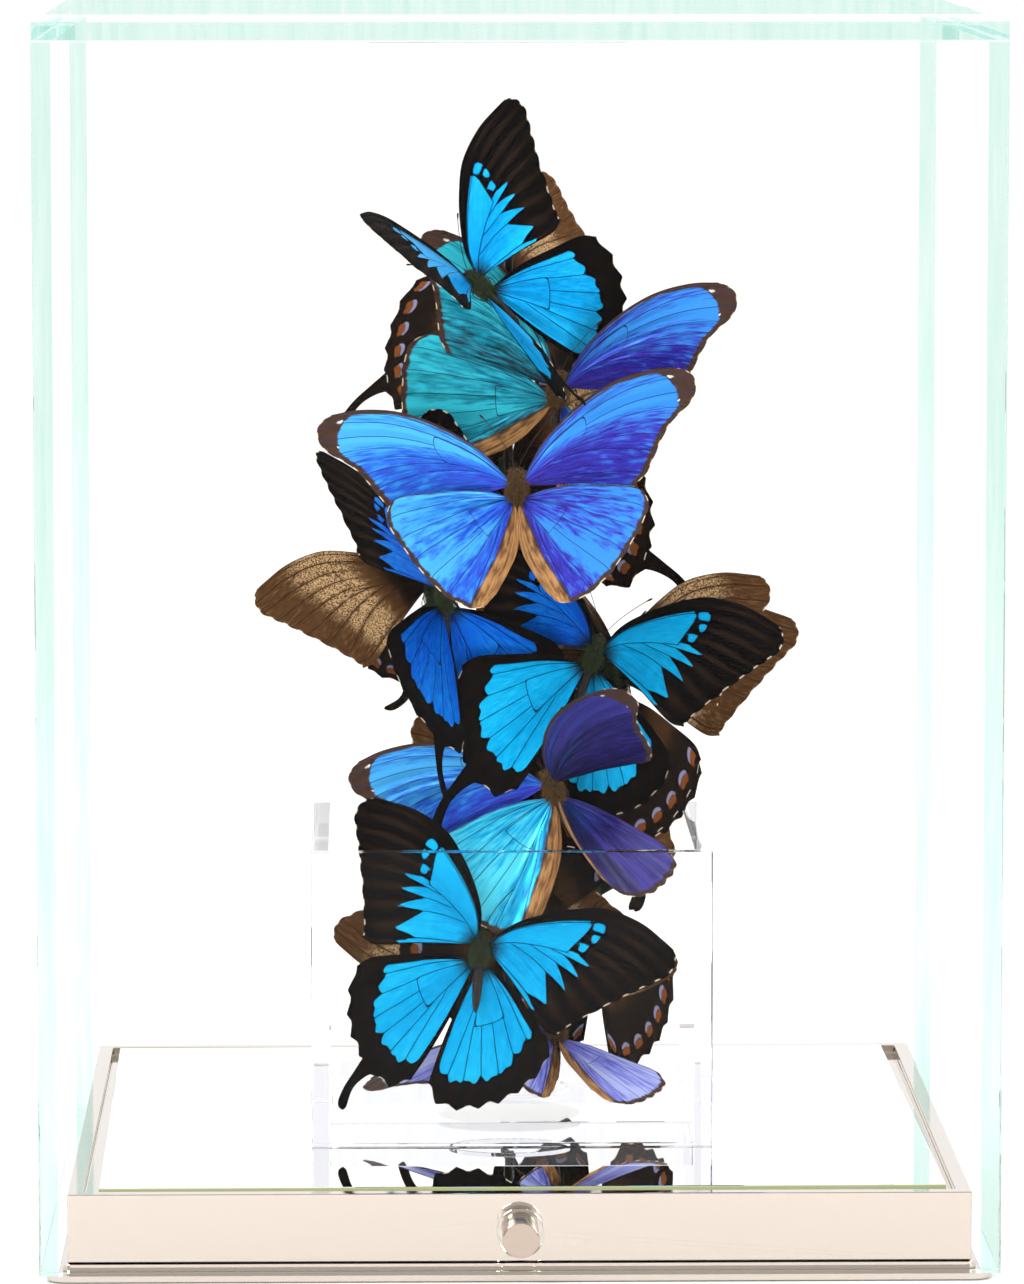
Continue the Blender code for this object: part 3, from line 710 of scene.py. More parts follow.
def wing_axes(side, wing, facing):
    """Unit vectors along the wing, across it towards its inner edge, and out of its upper
    side. Along is (cos turn cos lean, -sin lean, sin turn cos lean). Level is square to it
    in the front plane and forward square to both, and spin turns those two into the other
    vectors, so that the inner edge comes towards the front."""
    turn, lean, spin = (math.radians(v) for v in (wing.turn, wing.lean, wing.spin))
    along = np.array([math.cos(turn) * math.cos(lean), -math.sin(lean),
                      math.sin(turn) * math.cos(lean)])
    level = np.array([-math.sin(turn), 0, math.cos(turn)]) * side
    forward = np.cross(along, level)
    if forward[1] > 0:
        forward = -forward
    across = level * math.cos(spin) + forward * math.sin(spin)
    upper = (forward * math.cos(spin) - level * math.sin(spin)) * facing
    return along, across, upper


# %% [markdown]
# ## Wings: surface
#
# Marks and relief need sizes in millimetres at every point: how long the wing is along r,
# how wide along t, and how far apart two veins are. These are the lengths of the grid's own
# steps, which numpy's gradient takes for all points at once. The skin itself is two such
# grids, a tenth of a millimetre apart, joined along their edge. A Solidify modifier would
# thicken one grid as well, but the two sides carry different marks.

# %% One wing as arrays
class Surface:
    """A wing's grid with everything that its marks and relief need, in mm. Ray and span are
    the lengths of the surface's slopes along r and t. Gap is span over the slope of the
    vein count. Edge is (1 - r) times ray, and cell is the distance into the cell, below
    zero outside it. The margin is drawn in by lobe times the sine of half a turn per gap,
    times the 12th power of r."""

    def __init__(self, plan, length):
        self.plan = plan
        self.t, self.r = vein_grid(plan)
        self.flat = coons(plan, self.t, self.r) * length
        self.count = vein_count(plan, self.t, self.r)
        self.place = self.count % 1
        step = np.gradient(self.flat, axis=1) / np.gradient(self.r, axis=1)[..., None]
        self.ray = np.linalg.norm(step, axis=2)
        step = np.gradient(self.flat, axis=0) / np.gradient(self.t, axis=0)[..., None]
        self.span = np.linalg.norm(step, axis=2)
        rate = np.gradient(self.count, axis=0) / np.gradient(self.t, axis=0)
        self.gap = self.span / np.clip(rate, 1, 40)
        self.edge = (1 - self.r) * self.ray
        front, rear, end = plan.cell
        between = np.minimum(self.t - front, rear - self.t) * self.span
        self.cell = np.minimum(between, (end - self.r) * self.ray)
        lobes = plan.lobe * length * np.sin(math.pi * self.place) * self.r ** 12
        outward = np.gradient(self.flat, axis=1)
        outward /= np.linalg.norm(outward, axis=2)[..., None] + 1e-9
        self.flat = self.flat - outward * lobes[..., None]


def grid_faces(rows, columns):
    """Quads of a grid whose points are numbered row by row: each point, the one under it
    in the next row, that one's neighbour and its own neighbour."""
    corner = (np.arange(rows - 1)[:, None] * columns + np.arange(columns - 1)).ravel()
    return np.stack([corner, corner + columns, corner + columns + 1, corner + 1], 1)


def closed_sheet(upper, under, slots):
    """Joins an upper and an under grid of the same size along their edge into one closed
    skin: the under quads run the other way round, and a rim of quads walks round the
    grid's edge. Returns points, faces and each face's material slot."""
    rows, columns = upper.shape[:2]
    points = np.vstack([upper.reshape(-1, 3), under.reshape(-1, 3)])
    quads = grid_faces(rows, columns)
    half = rows * columns
    edge = np.concatenate([
        np.arange(columns), (np.arange(1, rows) + 1) * columns - 1,
        (rows - 1) * columns + np.arange(columns - 2, -1, -1),
        np.arange(rows - 2, 0, -1) * columns])
    following = np.roll(edge, -1)
    rim = np.stack([edge, following, following + half, edge + half], 1)
    faces = np.vstack([quads, quads[:, ::-1] + half, rim])
    slot = np.repeat([slots[0], slots[1], slots[0]], [len(quads), len(quads), len(rim)])
    return points, faces, slot


# %% [markdown]
# ## Wings: tails
#
# A swallowtail's tail grows from one vein of the hindwing and ends in a small paddle. It
# could be part of the wing's outline, but then all points of the margin would crowd into
# it. So it is a strip of its own, carried along a curve, whose root lies inside the wing.

# %% Tails of the swallowtails' hindwings
TAIL_LINE = ((0.95, 0.0), (1.08, -0.005), (1.22, 0.012), (1.34, 0.065), (1.385, 0.11))
TAIL_STEPS, TAIL_SIDES = 26, 7


def tail_sheet(length, share):
    """Flat tail: a narrow strip along a curve. At a share s of the curve its half width, in
    wing lengths, is 0.055 (1 - s)^3 + 0.018 + 0.03 s^3, times the root of 1 - s^8, which
    rounds the end. Share is how much of the tail is left."""
    s = np.linspace(0, 1, TAIL_STEPS)
    line = smooth_path(TAIL_LINE, s)
    line = line[0] + (line - line[0]) * share
    run = np.gradient(line, axis=0)
    normal = np.stack([-run[:, 1], run[:, 0]], 1)
    normal /= np.linalg.norm(normal, axis=1)[:, None]
    half = 0.055 * (1 - s) ** 3 + 0.018 + 0.03 * s ** 3
    half = half * np.sqrt(np.clip(1 - s ** 8, 0.01, 1))
    across = np.linspace(-1, 1, TAIL_SIDES)
    return (line[None] + across[:, None, None] * (half[:, None] * normal)[None]) * length


# %% [markdown]
# ## Bodies
#
# Thorax and abdomen are turned shapes with a ring for each segment. The eyes are domes. The
# antennae, legs and tongue are thin tubes along curves. Metaballs or sculpting could give
# softer forms, but at a few millimetres across nobody would see it, and outlines are easy
# to correct.

# %% Outlines of the bodies
BODY_SIDES, BODY_RINGS = 20, 44
BODY_FLATNESS = 0.88         # height over width
THORAX_END = -4.5            # mm behind the middle of the thorax
PINCH = 0.07                 # of the radius, at each segment
BODIES = {
    "swallowtail": ((0, 7.6), (1.0, 7.3), (1.35, 6.5), (1.2, 5.4), (1.5, 4.8), (2.1, 3.4),
                    (2.4, 0.5), (2.1, -2.5), (1.3, -4.6), (1.6, -7), (1.65, -10), (1.45, -14),
                    (0.95, -18), (0, -20)),
    "morpho": ((0, 7.2), (1.0, 6.9), (1.35, 6.1), (1.1, 5.1), (1.6, 4.4), (2.2, 2.8), (2.45, 0),
               (2.1, -2.8), (1.3, -4.6), (1.5, -7), (1.55, -10), (1.3, -13), (0.8, -16.3),
               (0, -17.6))}
print("body lengths in mm:", {name: round(line[0][1] - line[-1][1], 1)
                              for name, line in BODIES.items()})


def body_points(profile, heading, sideways, upper):
    """Turned body in mm: rings about the heading, flattened a little. On the abdomen each
    ring's radius is multiplied by 1 - PINCH times the 6th power of |cos(1.5 place)|, which
    pinches it once per segment, about every 2 mm."""
    line = smooth_path(profile, np.linspace(0, 1, BODY_RINGS))
    radius, place = np.maximum(line[:, 0], 0.02), line[:, 1]
    pinch = np.where(place < THORAX_END, PINCH * np.abs(np.cos(place * 1.5)) ** 6, 0)
    radius = radius * (1 - pinch)
    angle = np.linspace(0, 2 * math.pi, BODY_SIDES, endpoint=False)
    ring = np.cos(angle)[:, None] * sideways + BODY_FLATNESS * np.sin(angle)[:, None] * upper
    return place[:, None, None] * heading + radius[:, None, None] * ring[None]


# %% Tubes along curves
def square_to(runs):
    """Two unit vectors square to each run and to each other: the cross product of the run
    with Z, or with X where the run is nearly upright, and the run's cross product with it."""
    helper = np.where(abs(runs[:, 2:]) < 0.9, [[0, 0, 1.0]], [[1.0, 0, 0]])
    first = np.cross(runs, helper)
    first /= np.linalg.norm(first, axis=1)[:, None]
    return first, np.cross(runs, first)


def rings_round(runs, sides):
    """A unit circle square to each run: cos(angle) times the first vector that is square to
    it, plus sin(angle) times the second."""
    first, second = square_to(runs)
    angle = np.arange(sides) * 2 * math.pi / sides
    return (np.cos(angle)[None, :, None] * first[:, None]
            + np.sin(angle)[None, :, None] * second[:, None])


def tube(path, radius, sides):
    """Points of a tube along a path in mm: path plus radius times a circle square to it."""
    path = np.asarray(path, float)
    run = np.gradient(path, axis=0)
    run /= np.linalg.norm(run, axis=1)[:, None]
    return path[:, None] + np.asarray(radius)[:, None, None] * rings_round(run, sides)


def smooth_line(points, count):
    """Catmull-Rom curve in space, read at even steps between its points: the same cubic as
    in smooth_path, with each point's span number k and its share u of that span."""
    points = np.array(points, float)
    p = np.vstack([2 * points[0] - points[1], points, 2 * points[-1] - points[-2]])
    at = np.linspace(0, len(points) - 1 - 1e-9, count)
    k = at.astype(int)
    u = (at - k)[:, None]
    a, b, c, d = p[k], p[k + 1], p[k + 2], p[k + 3]
    return 0.5 * (2 * b + (c - a) * u + (2 * a - 5 * b + 4 * c - d) * u ** 2
                  + (3 * b - a - 3 * c + d) * u ** 3)


# %% [markdown]
# ## Down
#
# Over the thorax and the head lies a coat of scale hair. Blender's hair curves would be the
# usual way, but an export keeps real meshes and drops hair. So each hair is a closed spike
# of ten triangles, which is few enough for thousands of them, and it is bent once, so that
# the coat looks soft.

# %% Bristles
SPIKE = np.array([(0, 2, 1), (0, 1, 4), (0, 4, 3), (1, 2, 5), (1, 5, 4), (2, 0, 3), (2, 3, 5),
                  (3, 4, 6), (4, 5, 6), (5, 3, 6)])
SPIKE_POINTS = 7
MIDDLE_PLACE, MIDDLE_WIDTH = 0.55, 0.6
TIP_BEND = 0.22


def bristles(roots, runs, lengths, thickness):
    """Closed three-sided spikes: a base triangle, a middle triangle that is 0.6 as wide at
    0.55 of the length, and a tip that is bent aside by 0.22 of it. Returns points and
    triangles for all spikes at once."""
    ring = rings_round(runs, 3) * thickness
    middle = roots + runs * lengths[:, None] * MIDDLE_PLACE
    aside = square_to(runs)[0] * lengths[:, None] * TIP_BEND
    tip = roots + runs * lengths[:, None] + aside
    points = np.concatenate([roots[:, None] + ring, middle[:, None] + ring * MIDDLE_WIDTH,
                             tip[:, None]], 1)
    triangles = np.arange(len(roots))[:, None, None] * SPIKE_POINTS + SPIKE[None]
    return points.reshape(-1, 3), triangles.reshape(-1, 3)


print("triangles in a bristle:", len(SPIKE))


# %% [markdown]
# ## Finishes of the butterflies
#
# The blue of these wings is no pigment. Stacked ridges on each scale throw blue light back,
# so it has the soft gloss of satin: a partly metallic base with a middling roughness. The
# black borders are velvet, and the undersides are dull. A picture could be painted and laid
# on the wing, but rules stay sharp at any size. One helper turns a field of the mesh into
# the cover of a mark, with an edge roughened by noise as wide as the scales that make it up
# (about 0.1 mm, drawn a little coarser so that it shows). Another lays colours over each
# other, from the lowest layer to the top one.

# %% Painting helpers
SCALE_GRAIN = 0.35           # mm


def fibre(tree, across, along):
    """Noise drawn out along the veins: its cells are 1/across of a vein gap wide and
    1/along mm long."""
    space = add(tree, "CombineXYZ", {
        0: add(tree, "Math", {0: "count", 1: across}, operation="MULTIPLY"),
        1: add(tree, "Math", {0: "reach", 1: along}, operation="MULTIPLY")})
    return add(tree, "TexNoise", {
        "Vector": space, "Scale": 1.0, "Detail": 2.5, "Roughness": 0.6})


def speckle(tree, grain_mm):
    """Even noise in the piece's own space, with grains of a given size."""
    return add(tree, "TexNoise", {
        "Vector": add(tree, "TexCoord", output="Object"), "Scale": 1 / (grain_mm * MM),
        "Detail": 3.0})


def cover(tree, value, low, high, rough=None, amount=0.0):
    """0 where a field is below low, 1 above high, with the edge shifted by noise."""
    if rough:
        shift = add(tree, "Math", {0: rough, 1: amount, 2: -amount / 2},
                    operation="MULTIPLY_ADD")
        value = add(tree, "Math", {0: value, 1: shift}, operation="ADD")
    return add(tree, "MapRange", {0: value, 1: low, 2: high, 3: 0.0, 4: 1.0},
               interpolation_type="SMOOTHSTEP")


def layers(tree, ground, *covers_and_colours):
    """The ground with colours over it. Each is a hex value or another node's output, and
    covers what lies below it by its own cover, from 0 to 1."""
    painted = linear(ground) if isinstance(ground, str) else ground
    for amount, colour in covers_and_colours:
        colour = linear(colour) if isinstance(colour, str) else colour
        painted = add(tree, "Mix", {0: amount, 6: painted, 7: colour}, output=2,
                      data_type="RGBA")
    return painted


def dress(tree, shader, painted, height, depth_mm, strength):
    """Gives a shader its colour, and a fine relief where the height noise is bright."""
    tree.links.new(painted, shader.inputs["Base Color"])
    bump = add(tree, "Bump", {"Height": height, "Strength": strength,
                              "Distance": depth_mm * MM})
    tree.links.new(bump, shader.inputs["Normal"])


# %% [markdown]
# ## Veins and fringe
#
# On a real wing the veins are thin dark tubes, and between each two of them the margin
# carries a tuft of short pale hairs. Both could be meshes, but there are hundreds on each
# butterfly, so they are painted. A vein lies wherever the vein count is a whole number, and
# a fringe wherever the margin is near and the count is far from a whole number. Inside the
# closed cell there are no veins, only its own outline.

# %% Cover of the veins and the fringe
INSIDE_CELL = 9.0            # mm added to the distance from a vein, so that none is drawn
FRINGE_START = 0.34          # distance of the vein count from a whole number


def vein_cover(tree, width):
    """1 on the veins: lines at whole vein counts outside the cell, and the cell's outline.
    The distance from a vein is the distance of the count from a whole number times the
    width of the gap in mm."""
    nearest = add(tree, "Math", {0: "count", 1: 0.5}, operation="PINGPONG")
    away = add(tree, "Math", {0: nearest, 1: "gap"}, operation="MULTIPLY")
    inside = add(tree, "Math", {0: "cell", 1: 0.0}, operation="GREATER_THAN")
    away = add(tree, "Math", {0: inside, 1: INSIDE_CELL, 2: away}, operation="MULTIPLY_ADD")
    rim = add(tree, "Math", {0: "cell"}, operation="ABSOLUTE")
    away = add(tree, "Math", {0: away, 1: rim}, operation="MINIMUM")
    return add(tree, "MapRange", {0: away, 1: width * 0.5, 2: width * 1.4, 3: 1.0, 4: 0.0},
               interpolation_type="SMOOTHSTEP")


def fringe_cover(tree, width):
    """1 on the short pale hairs that edge the wing in the middle of each vein gap."""
    nearest = add(tree, "Math", {0: "count", 1: 0.5}, operation="PINGPONG")
    middle = add(tree, "Math", {0: nearest, 1: FRINGE_START}, operation="GREATER_THAN")
    rim = add(tree, "Math", {0: "edge", 1: width}, operation="LESS_THAN")
    return add(tree, "Math", {0: middle, 1: rim}, operation="MULTIPLY")


# %% [markdown]
# ## Blue scales
#
# The same wing is deep blue where it turns away and light blue where it faces the light.
# Real scales do this by interference, which changes with the angle, and a renderer would
# need a thin film for it. Here that change is painted sheen and shade: each wing has three
# blues, read along a fixed field of each point's place in the wing's vein space and stirred
# by the fibres, so that they streak along the veins.

# %% Three blues for each wing
# Painted sheen and shade: in each set the light blue stands for a wing that faces the light and
# the deep one for a wing turned away.
BLUES = {                    # deep, middle and light
    "azure": ("#0070B4", "#0298DC", "#22B6F0"),
    "bright": ("#007AB2", "#009EDA", "#1CBEEE"),
    "deep": ("#00349C", "#0059C4", "#1486DE"),
    "sea": ("#05303C", "#0C8AA4", "#2CC2D8"),
    "cyan": ("#006CA6", "#04A6DA", "#4AD4F2"),
    "sky": ("#2C34BC", "#2062D8", "#42AAF0"),
    "violet": ("#241A7C", "#302EB0", "#308AE4"),
    "indigo": ("#120C30", "#241D5C", "#3D3690"),
    "lilac": ("#3E3AA0", "#6F74D8", "#A9B4EE")}
BLUE_PLACES = (0.35, 0.65, 1.0)


def blue_colour(tree, blues, fibres, stir):
    """Three blues along the hue field, stirred by the fibres, whose middle is 0.5: painted
    sheen and shade, light blue where the wing is taken to face the light, deep where it turns
    away.
    """
    stirred = add(tree, "Math", {0: fibres, 1: stir, 2: "hue"}, operation="MULTIPLY_ADD")
    colour = add(tree, "ValToRGB", {0: stirred})
    ramp = colour.node.color_ramp
    ramp.elements[0].position = BLUE_PLACES[0]
    ramp.elements[1].position = BLUE_PLACES[2]
    ramp.elements.new(BLUE_PLACES[1])
    for element, blue in zip(ramp.elements, BLUES[blues]):
        element.color = linear(blue)
    return colour


print("sets of blues:", len(BLUES))

# %% [markdown]
# ## Upper sides
#
# A swallowtail's ground is velvet: hollow black scales that swallow light, so it has almost
# no specular light, and only a trace of brown along the fibres. A Morpho's whole wing is
# satin, smoother and more metallic. The layers go on as they lie on the wing: the ground,
# the pale streaks, the blue, the dark veins, the hair at the root and the fringe.

# %% Finishes of the upper sides
def swallowtail_upper(name, blues):
    """Structural blue scales on a velvet black ground, black veins, pale fringe: the blue
    gleams softly, with painted sheen in its lighter blues, and the black stays deep."""
    material, tree, shader = finish_named(name, {"IOR": 1.5, "Specular IOR Level": 0.04})
    fibres = fibre(tree, 7.0, 0.22)
    grain = speckle(tree, SCALE_GRAIN)
    streak = cover(tree, "streak", 0.0, 1.0, fibres, 0.6)
    blue = cover(tree, "blue", -0.1, 0.12, grain, 0.9)
    root = cover(tree, "reach", 2.0, 9.0, grain, 6.0)
    painted = layers(tree, "#030202", (fibres, "#110B08"), (streak, "#241A14"),
                     (blue, blue_colour(tree, blues, fibres, 0.9)),
                     (vein_cover(tree, 0.15), "#05101A"))
    painted = layers(tree, "#0E1A14", (root, painted), (fringe_cover(tree, 0.42), "#CFC6B2"))
    sheen = add(tree, "Math", {0: blue, 1: 0.35}, operation="MULTIPLY")
    tree.links.new(sheen, shader.inputs["Metallic"])
    gloss = add(tree, "MapRange", {0: blue, 3: 0.85, 4: 0.42})
    tree.links.new(gloss, shader.inputs["Roughness"])
    dress(tree, shader, painted, fibres, 0.12, 0.25)
    return material


def morpho_upper(name, blues):
    """Satin blue over almost the whole wing, brown border and tip, tan inner fold: it gleams
    like silk, and its painted sheen, lighter blue stirred by the fibres, streaks broadly
    along the veins."""
    material, tree, shader = finish_named(name, {"IOR": 1.5, "Specular IOR Level": 0.3})
    fibres = fibre(tree, 5.0, 0.12)
    grain = speckle(tree, SCALE_GRAIN)
    blue = cover(tree, "blue", -0.4, 0.6, fibres, 2.5)
    tan = cover(tree, "tan", -0.2, 0.8, fibres, 1.2)
    silk = layers(tree, "#5C3819", (cover(tree, fibres, 0.32, 0.68), "#B98850"))
    spots = cover(tree, "spots", -0.1, 0.2, grain, 0.5)
    painted = layers(tree, "#1E100A", (fibres, "#4A2C1B"),
                     (blue, blue_colour(tree, blues, fibres, 1.3)),
                     (vein_cover(tree, 0.12), "#141C48"), (tan, silk), (spots, "#EDE6DC"),
                     (fringe_cover(tree, 0.38), "#D8C6A4"))
    sheen = add(tree, "Math", {0: blue, 1: 0.45}, operation="MULTIPLY")
    tree.links.new(sheen, shader.inputs["Metallic"])
    gloss = add(tree, "MapRange", {0: blue, 3: 0.65, 4: 0.36})
    tree.links.new(gloss, shader.inputs["Roughness"])
    dress(tree, shader, painted, fibres, 0.15, 0.35)
    return material


# %% [markdown]
# ## Under sides
#
# The underside has pigment only: brown and buff scales, dull as felt. On a swallowtail the
# buff is grizzled, single pale scales on dark ones, which a noise of half a millimetre
# shows. A Morpho's ringed eyes are discs of falling size, one over the other, all read from
# the distance to the eye's middle.

# %% Finishes of the under sides
EYE_DISCS = ((3.6, "#B99B5E"), (3.0, "#1B120D"), (1.5, "#7A4A22"), (0.6, "#F2EEE6"))
GRIZZLE = 0.5                # mm


def swallowtail_under():
    """Dull brown-black with grizzled buff streaks, rust crescents with a lilac rim: it
    takes light like felt."""
    material, tree, shader = finish_named("swallowtail_underside_scales", {
        "Roughness": 0.8, "Specular IOR Level": 0.06})
    fibres = fibre(tree, 8.0, 0.3)
    grain = speckle(tree, SCALE_GRAIN)
    wash = cover(tree, "pale", 0.0, 0.5, fibres, 0.4)
    brown = layers(tree, "#2E1D10", (fibres, "#684627"))
    pale = cover(tree, "pale", 0.5, 0.95, fibres, 0.7)
    buff = layers(tree, "#553A20", (cover(tree, speckle(tree, GRIZZLE), 0.36, 0.64), "#C8A67A"))
    painted = layers(tree, "#080504", (fibres, "#1E140D"), (wash, brown), (pale, buff),
                     (vein_cover(tree, 0.12), "#1E140E"),
                     (cover(tree, "lilac", -0.1, 0.25, grain, 0.8), "#7F7F9C"),
                     (cover(tree, "rust", -0.1, 0.3, grain, 0.8), "#74401A"),
                     (fringe_cover(tree, 0.42), "#D9D0BE"))
    dress(tree, shader, painted, fibres, 0.12, 0.3)
    return material


def morpho_underside():
    """Bronze brown with pale bands and ringed eyes: a little smoother than felt."""
    material, tree, shader = finish_named("morpho_underside_scales", {
        "Roughness": 0.55, "Specular IOR Level": 0.3})
    fibres = fibre(tree, 6.0, 0.2)
    pale = cover(tree, "pale", 0.0, 0.5, fibres, 0.5)
    discs = [(add(tree, "MapRange", {0: "eye", 1: size - 0.15, 2: size + 0.15, 3: 1.0, 4: 0.0}),
              colour) for size, colour in EYE_DISCS]
    painted = layers(tree, "#3A2415", (fibres, "#6E4C30"), (pale, "#A98C66"),
                     (vein_cover(tree, 0.16), "#2A1A10"), *discs,
                     (fringe_cover(tree, 0.38), "#C8B694"))
    dress(tree, shader, painted, fibres, 0.12, 0.3)
    return material


# %% [markdown]
# ## Bodies and down
#
# The body, legs and antennae are chitin, a horny skin that dries slightly glossy. The coat
# over the thorax is scale hair, called down here: matt, and each tuft a little different. A
# sheen would show it from the side as dust does, so it has next to none.

# %% Finishes of the bodies and the down
CHITIN_MOTTLE = 0.5          # mm
DOWN_TUFT = 0.9              # mm


def chitin(name, dark, light):
    """Dry insect skin: horny and slightly glossy, mottled and a little uneven."""
    material, tree, shader = finish_named(name, {
        "Roughness": 0.55, "IOR": 1.54, "Specular IOR Level": 0.25})
    mottle = speckle(tree, CHITIN_MOTTLE)
    dress(tree, shader, layers(tree, dark, (mottle, light)), mottle, 0.1, 0.4)
    return material


def down(name, dark, light):
    """Scale hair: matt, and each tuft a little different."""
    material, tree, shader = finish_named(name, {
        "Roughness": 0.9, "Specular IOR Level": 0.1, "Sheen Weight": 0.05})
    painted = layers(tree, dark, (speckle(tree, DOWN_TUFT), light))
    tree.links.new(painted, shader.inputs["Base Color"])
    return material


# %% Make the finishes
# One material for each set of blues: lighter and darker copies of the same scales, painted sheen
# and painted shade.
FINISHES = {name: swallowtail_upper("swallowtail_scales_" + name, name)
            for name in ("azure", "bright", "deep")}
FINISHES.update({name: morpho_upper("morpho_scales_" + name, name)
                 for name in ("sea", "cyan", "sky", "violet", "indigo", "lilac")})
FINISHES["swallowtail_under"] = swallowtail_under()
FINISHES["morpho_under"] = morpho_underside()
FINISHES["swallowtail_body"] = chitin("swallowtail_chitin", "#060504", "#1A160F")
FINISHES["morpho_body"] = chitin("morpho_chitin", "#120A05", "#38240F")
FINISHES["swallowtail_down"] = down("green_black_down", "#060A06", "#4C5C3A")
FINISHES["morpho_down"] = down("brown_down", "#1A1008", "#8A6A44")
print("butterfly finishes:", len(FINISHES))

# %% [markdown]
# ## One butterfly as one mesh
#
# A mounted butterfly is one dry thing: wings, tails, body, antennae and down are gathered
# into one mesh, each part with its own material slot. Separate objects could be joined
# afterwards, but Join is an operator that needs a selection, and arrays are simply
# stacked. A triangle is kept in the same table as the four-sided faces, with -1 in place
# of its fourth corner. A part that lacks a mark gets a value far outside it.

# %% Gathering parts into a mesh
SHARP = 70                   # degrees, past which an edge is shaded sharp
OUTSIDE = {"blue": -9, "streak": -9, "pale": -9, "rust": -9, "lilac": -9, "spots": -9,
           "tan": -9, "eye": 9, "count": 0.5, "gap": 9, "cell": -9, "edge": 9, "reach": 9,
           "hue": 0.5}


class Heap:
    """Points in mm, faces, material slots and fields of everything added so far."""

    def __init__(self):
        self.count = 0
        self.points, self.faces, self.slots, self.fields = [], [], [], []

    def take(self, points, faces, slots, fields=None):
        """Adds one part. Its faces count from 0 and are moved up to their place."""
        points = points.reshape(-1, 3)
        if faces.shape[1] == 3:
            faces = np.hstack([faces, np.full((len(faces), 1), -1)])
        table = np.empty((len(OUTSIDE), len(points)))
        for row, (name, value) in enumerate(OUTSIDE.items()):
            table[row] = (fields or {}).get(name, value)
        self.points.append(points)
        self.faces.append(np.where(faces < 0, -1, faces + self.count))
        self.slots.append(np.broadcast_to(slots, len(faces)))
        self.fields.append(table)
        self.count += len(points)

    def mesh(self, name, materials):
        """Writes the arrays into a mesh with foreach_set, which takes them whole."""
        points, faces = np.vstack(self.points) * MM, np.vstack(self.faces)
        present = faces >= 0
        sizes = present.sum(1)
        mesh = bpy.data.meshes.new(name)
        mesh.vertices.add(len(points))
        mesh.vertices.foreach_set("co", points.astype(np.float32).ravel())
        mesh.loops.add(sizes.sum())
        mesh.loops.foreach_set("vertex_index", faces[present].astype(np.int32))
        mesh.polygons.add(len(sizes))
        starts = np.append(0, np.cumsum(sizes)[:-1])
        mesh.polygons.foreach_set("loop_start", starts.astype(np.int32))
        mesh.polygons.foreach_set("material_index", np.concatenate(self.slots).astype(np.int32))
        mesh.update(calc_edges=True)
        for material in materials:
            mesh.materials.append(material)
        for row, field_name in enumerate(OUTSIDE):
            values = np.concatenate([table[row] for table in self.fields])
            attribute = mesh.attributes.new(field_name, "FLOAT", "POINT")
            attribute.data.foreach_set("value", values.astype(np.float32))
        mesh.shade_smooth()
        mesh.set_sharp_from_angle(angle=math.radians(SHARP))
        return mesh


# %% [markdown]
# ## Growing a wing
#
# Here a wing's parts come together: its plan, its marks, its relief and its pose. The skin
# could have one thickness everywhere or swell at the veins. A tenth of a millimetre is
# already thinner than the eye can judge, so it has one. On a Morpho's blue a bright glint
# runs along the wing: a painted highlight, a bell curve across t added to the hue.

# %% Kinds of wing
SKIN = 0.11                  # thickness in mm
GLINT_WIDTH = 0.07
Kind = namedtuple("Kind", "plan length marks under_marks")
KINDS = {
    ("swallowtail", "fore"): Kind(SWALLOWTAIL_FORE, 61.5, swallowtail_fore_marks,
                                  swallowtail_fore_under),
    ("swallowtail", "hind"): Kind(SWALLOWTAIL_HIND, 54, swallowtail_hind_marks,
                                  swallowtail_hind_under),
    ("morpho", "fore"): Kind(MORPHO_FORE, 66, morpho_fore_marks, morpho_under),
    ("morpho", "hind"): Kind(MORPHO_HIND, 50, morpho_hind_marks, morpho_under)}
print("wing lengths in mm:", {" ".join(name): kind.length for name, kind in KINDS.items()})


# %% Hue and skin of a wing
def hue_of(kind, w, random):
    """Where each point lies from deep to light blue, as painted sheen. It rises along the wing,
    with a slow wave across it. On a Morpho it falls across the wing, and a glint, a painted
    highlight, follows a line that drifts across it: exp of minus the square of the distance
    over GLINT_WIDTH."""
    hue = 0.22 + 0.3 * (w.r - 0.5) + 0.07 * np.sin(9 * w.t + random.uniform(0, 6))
    if kind.plan in (MORPHO_FORE, MORPHO_HIND):
        crest, drift = (0.15, 0.12) if kind.plan == MORPHO_FORE else (0.6, -0.1)
        # Painted highlight: the glint lays a band of light blue into the hue.
        glint = np.exp(-((w.t - crest - drift * w.r) / GLINT_WIDTH) ** 2)
        hue = hue + 0.02 - 0.45 * w.t + 0.45 * glint * smooth_step(w.r, 0.12, 0.4)
    return hue


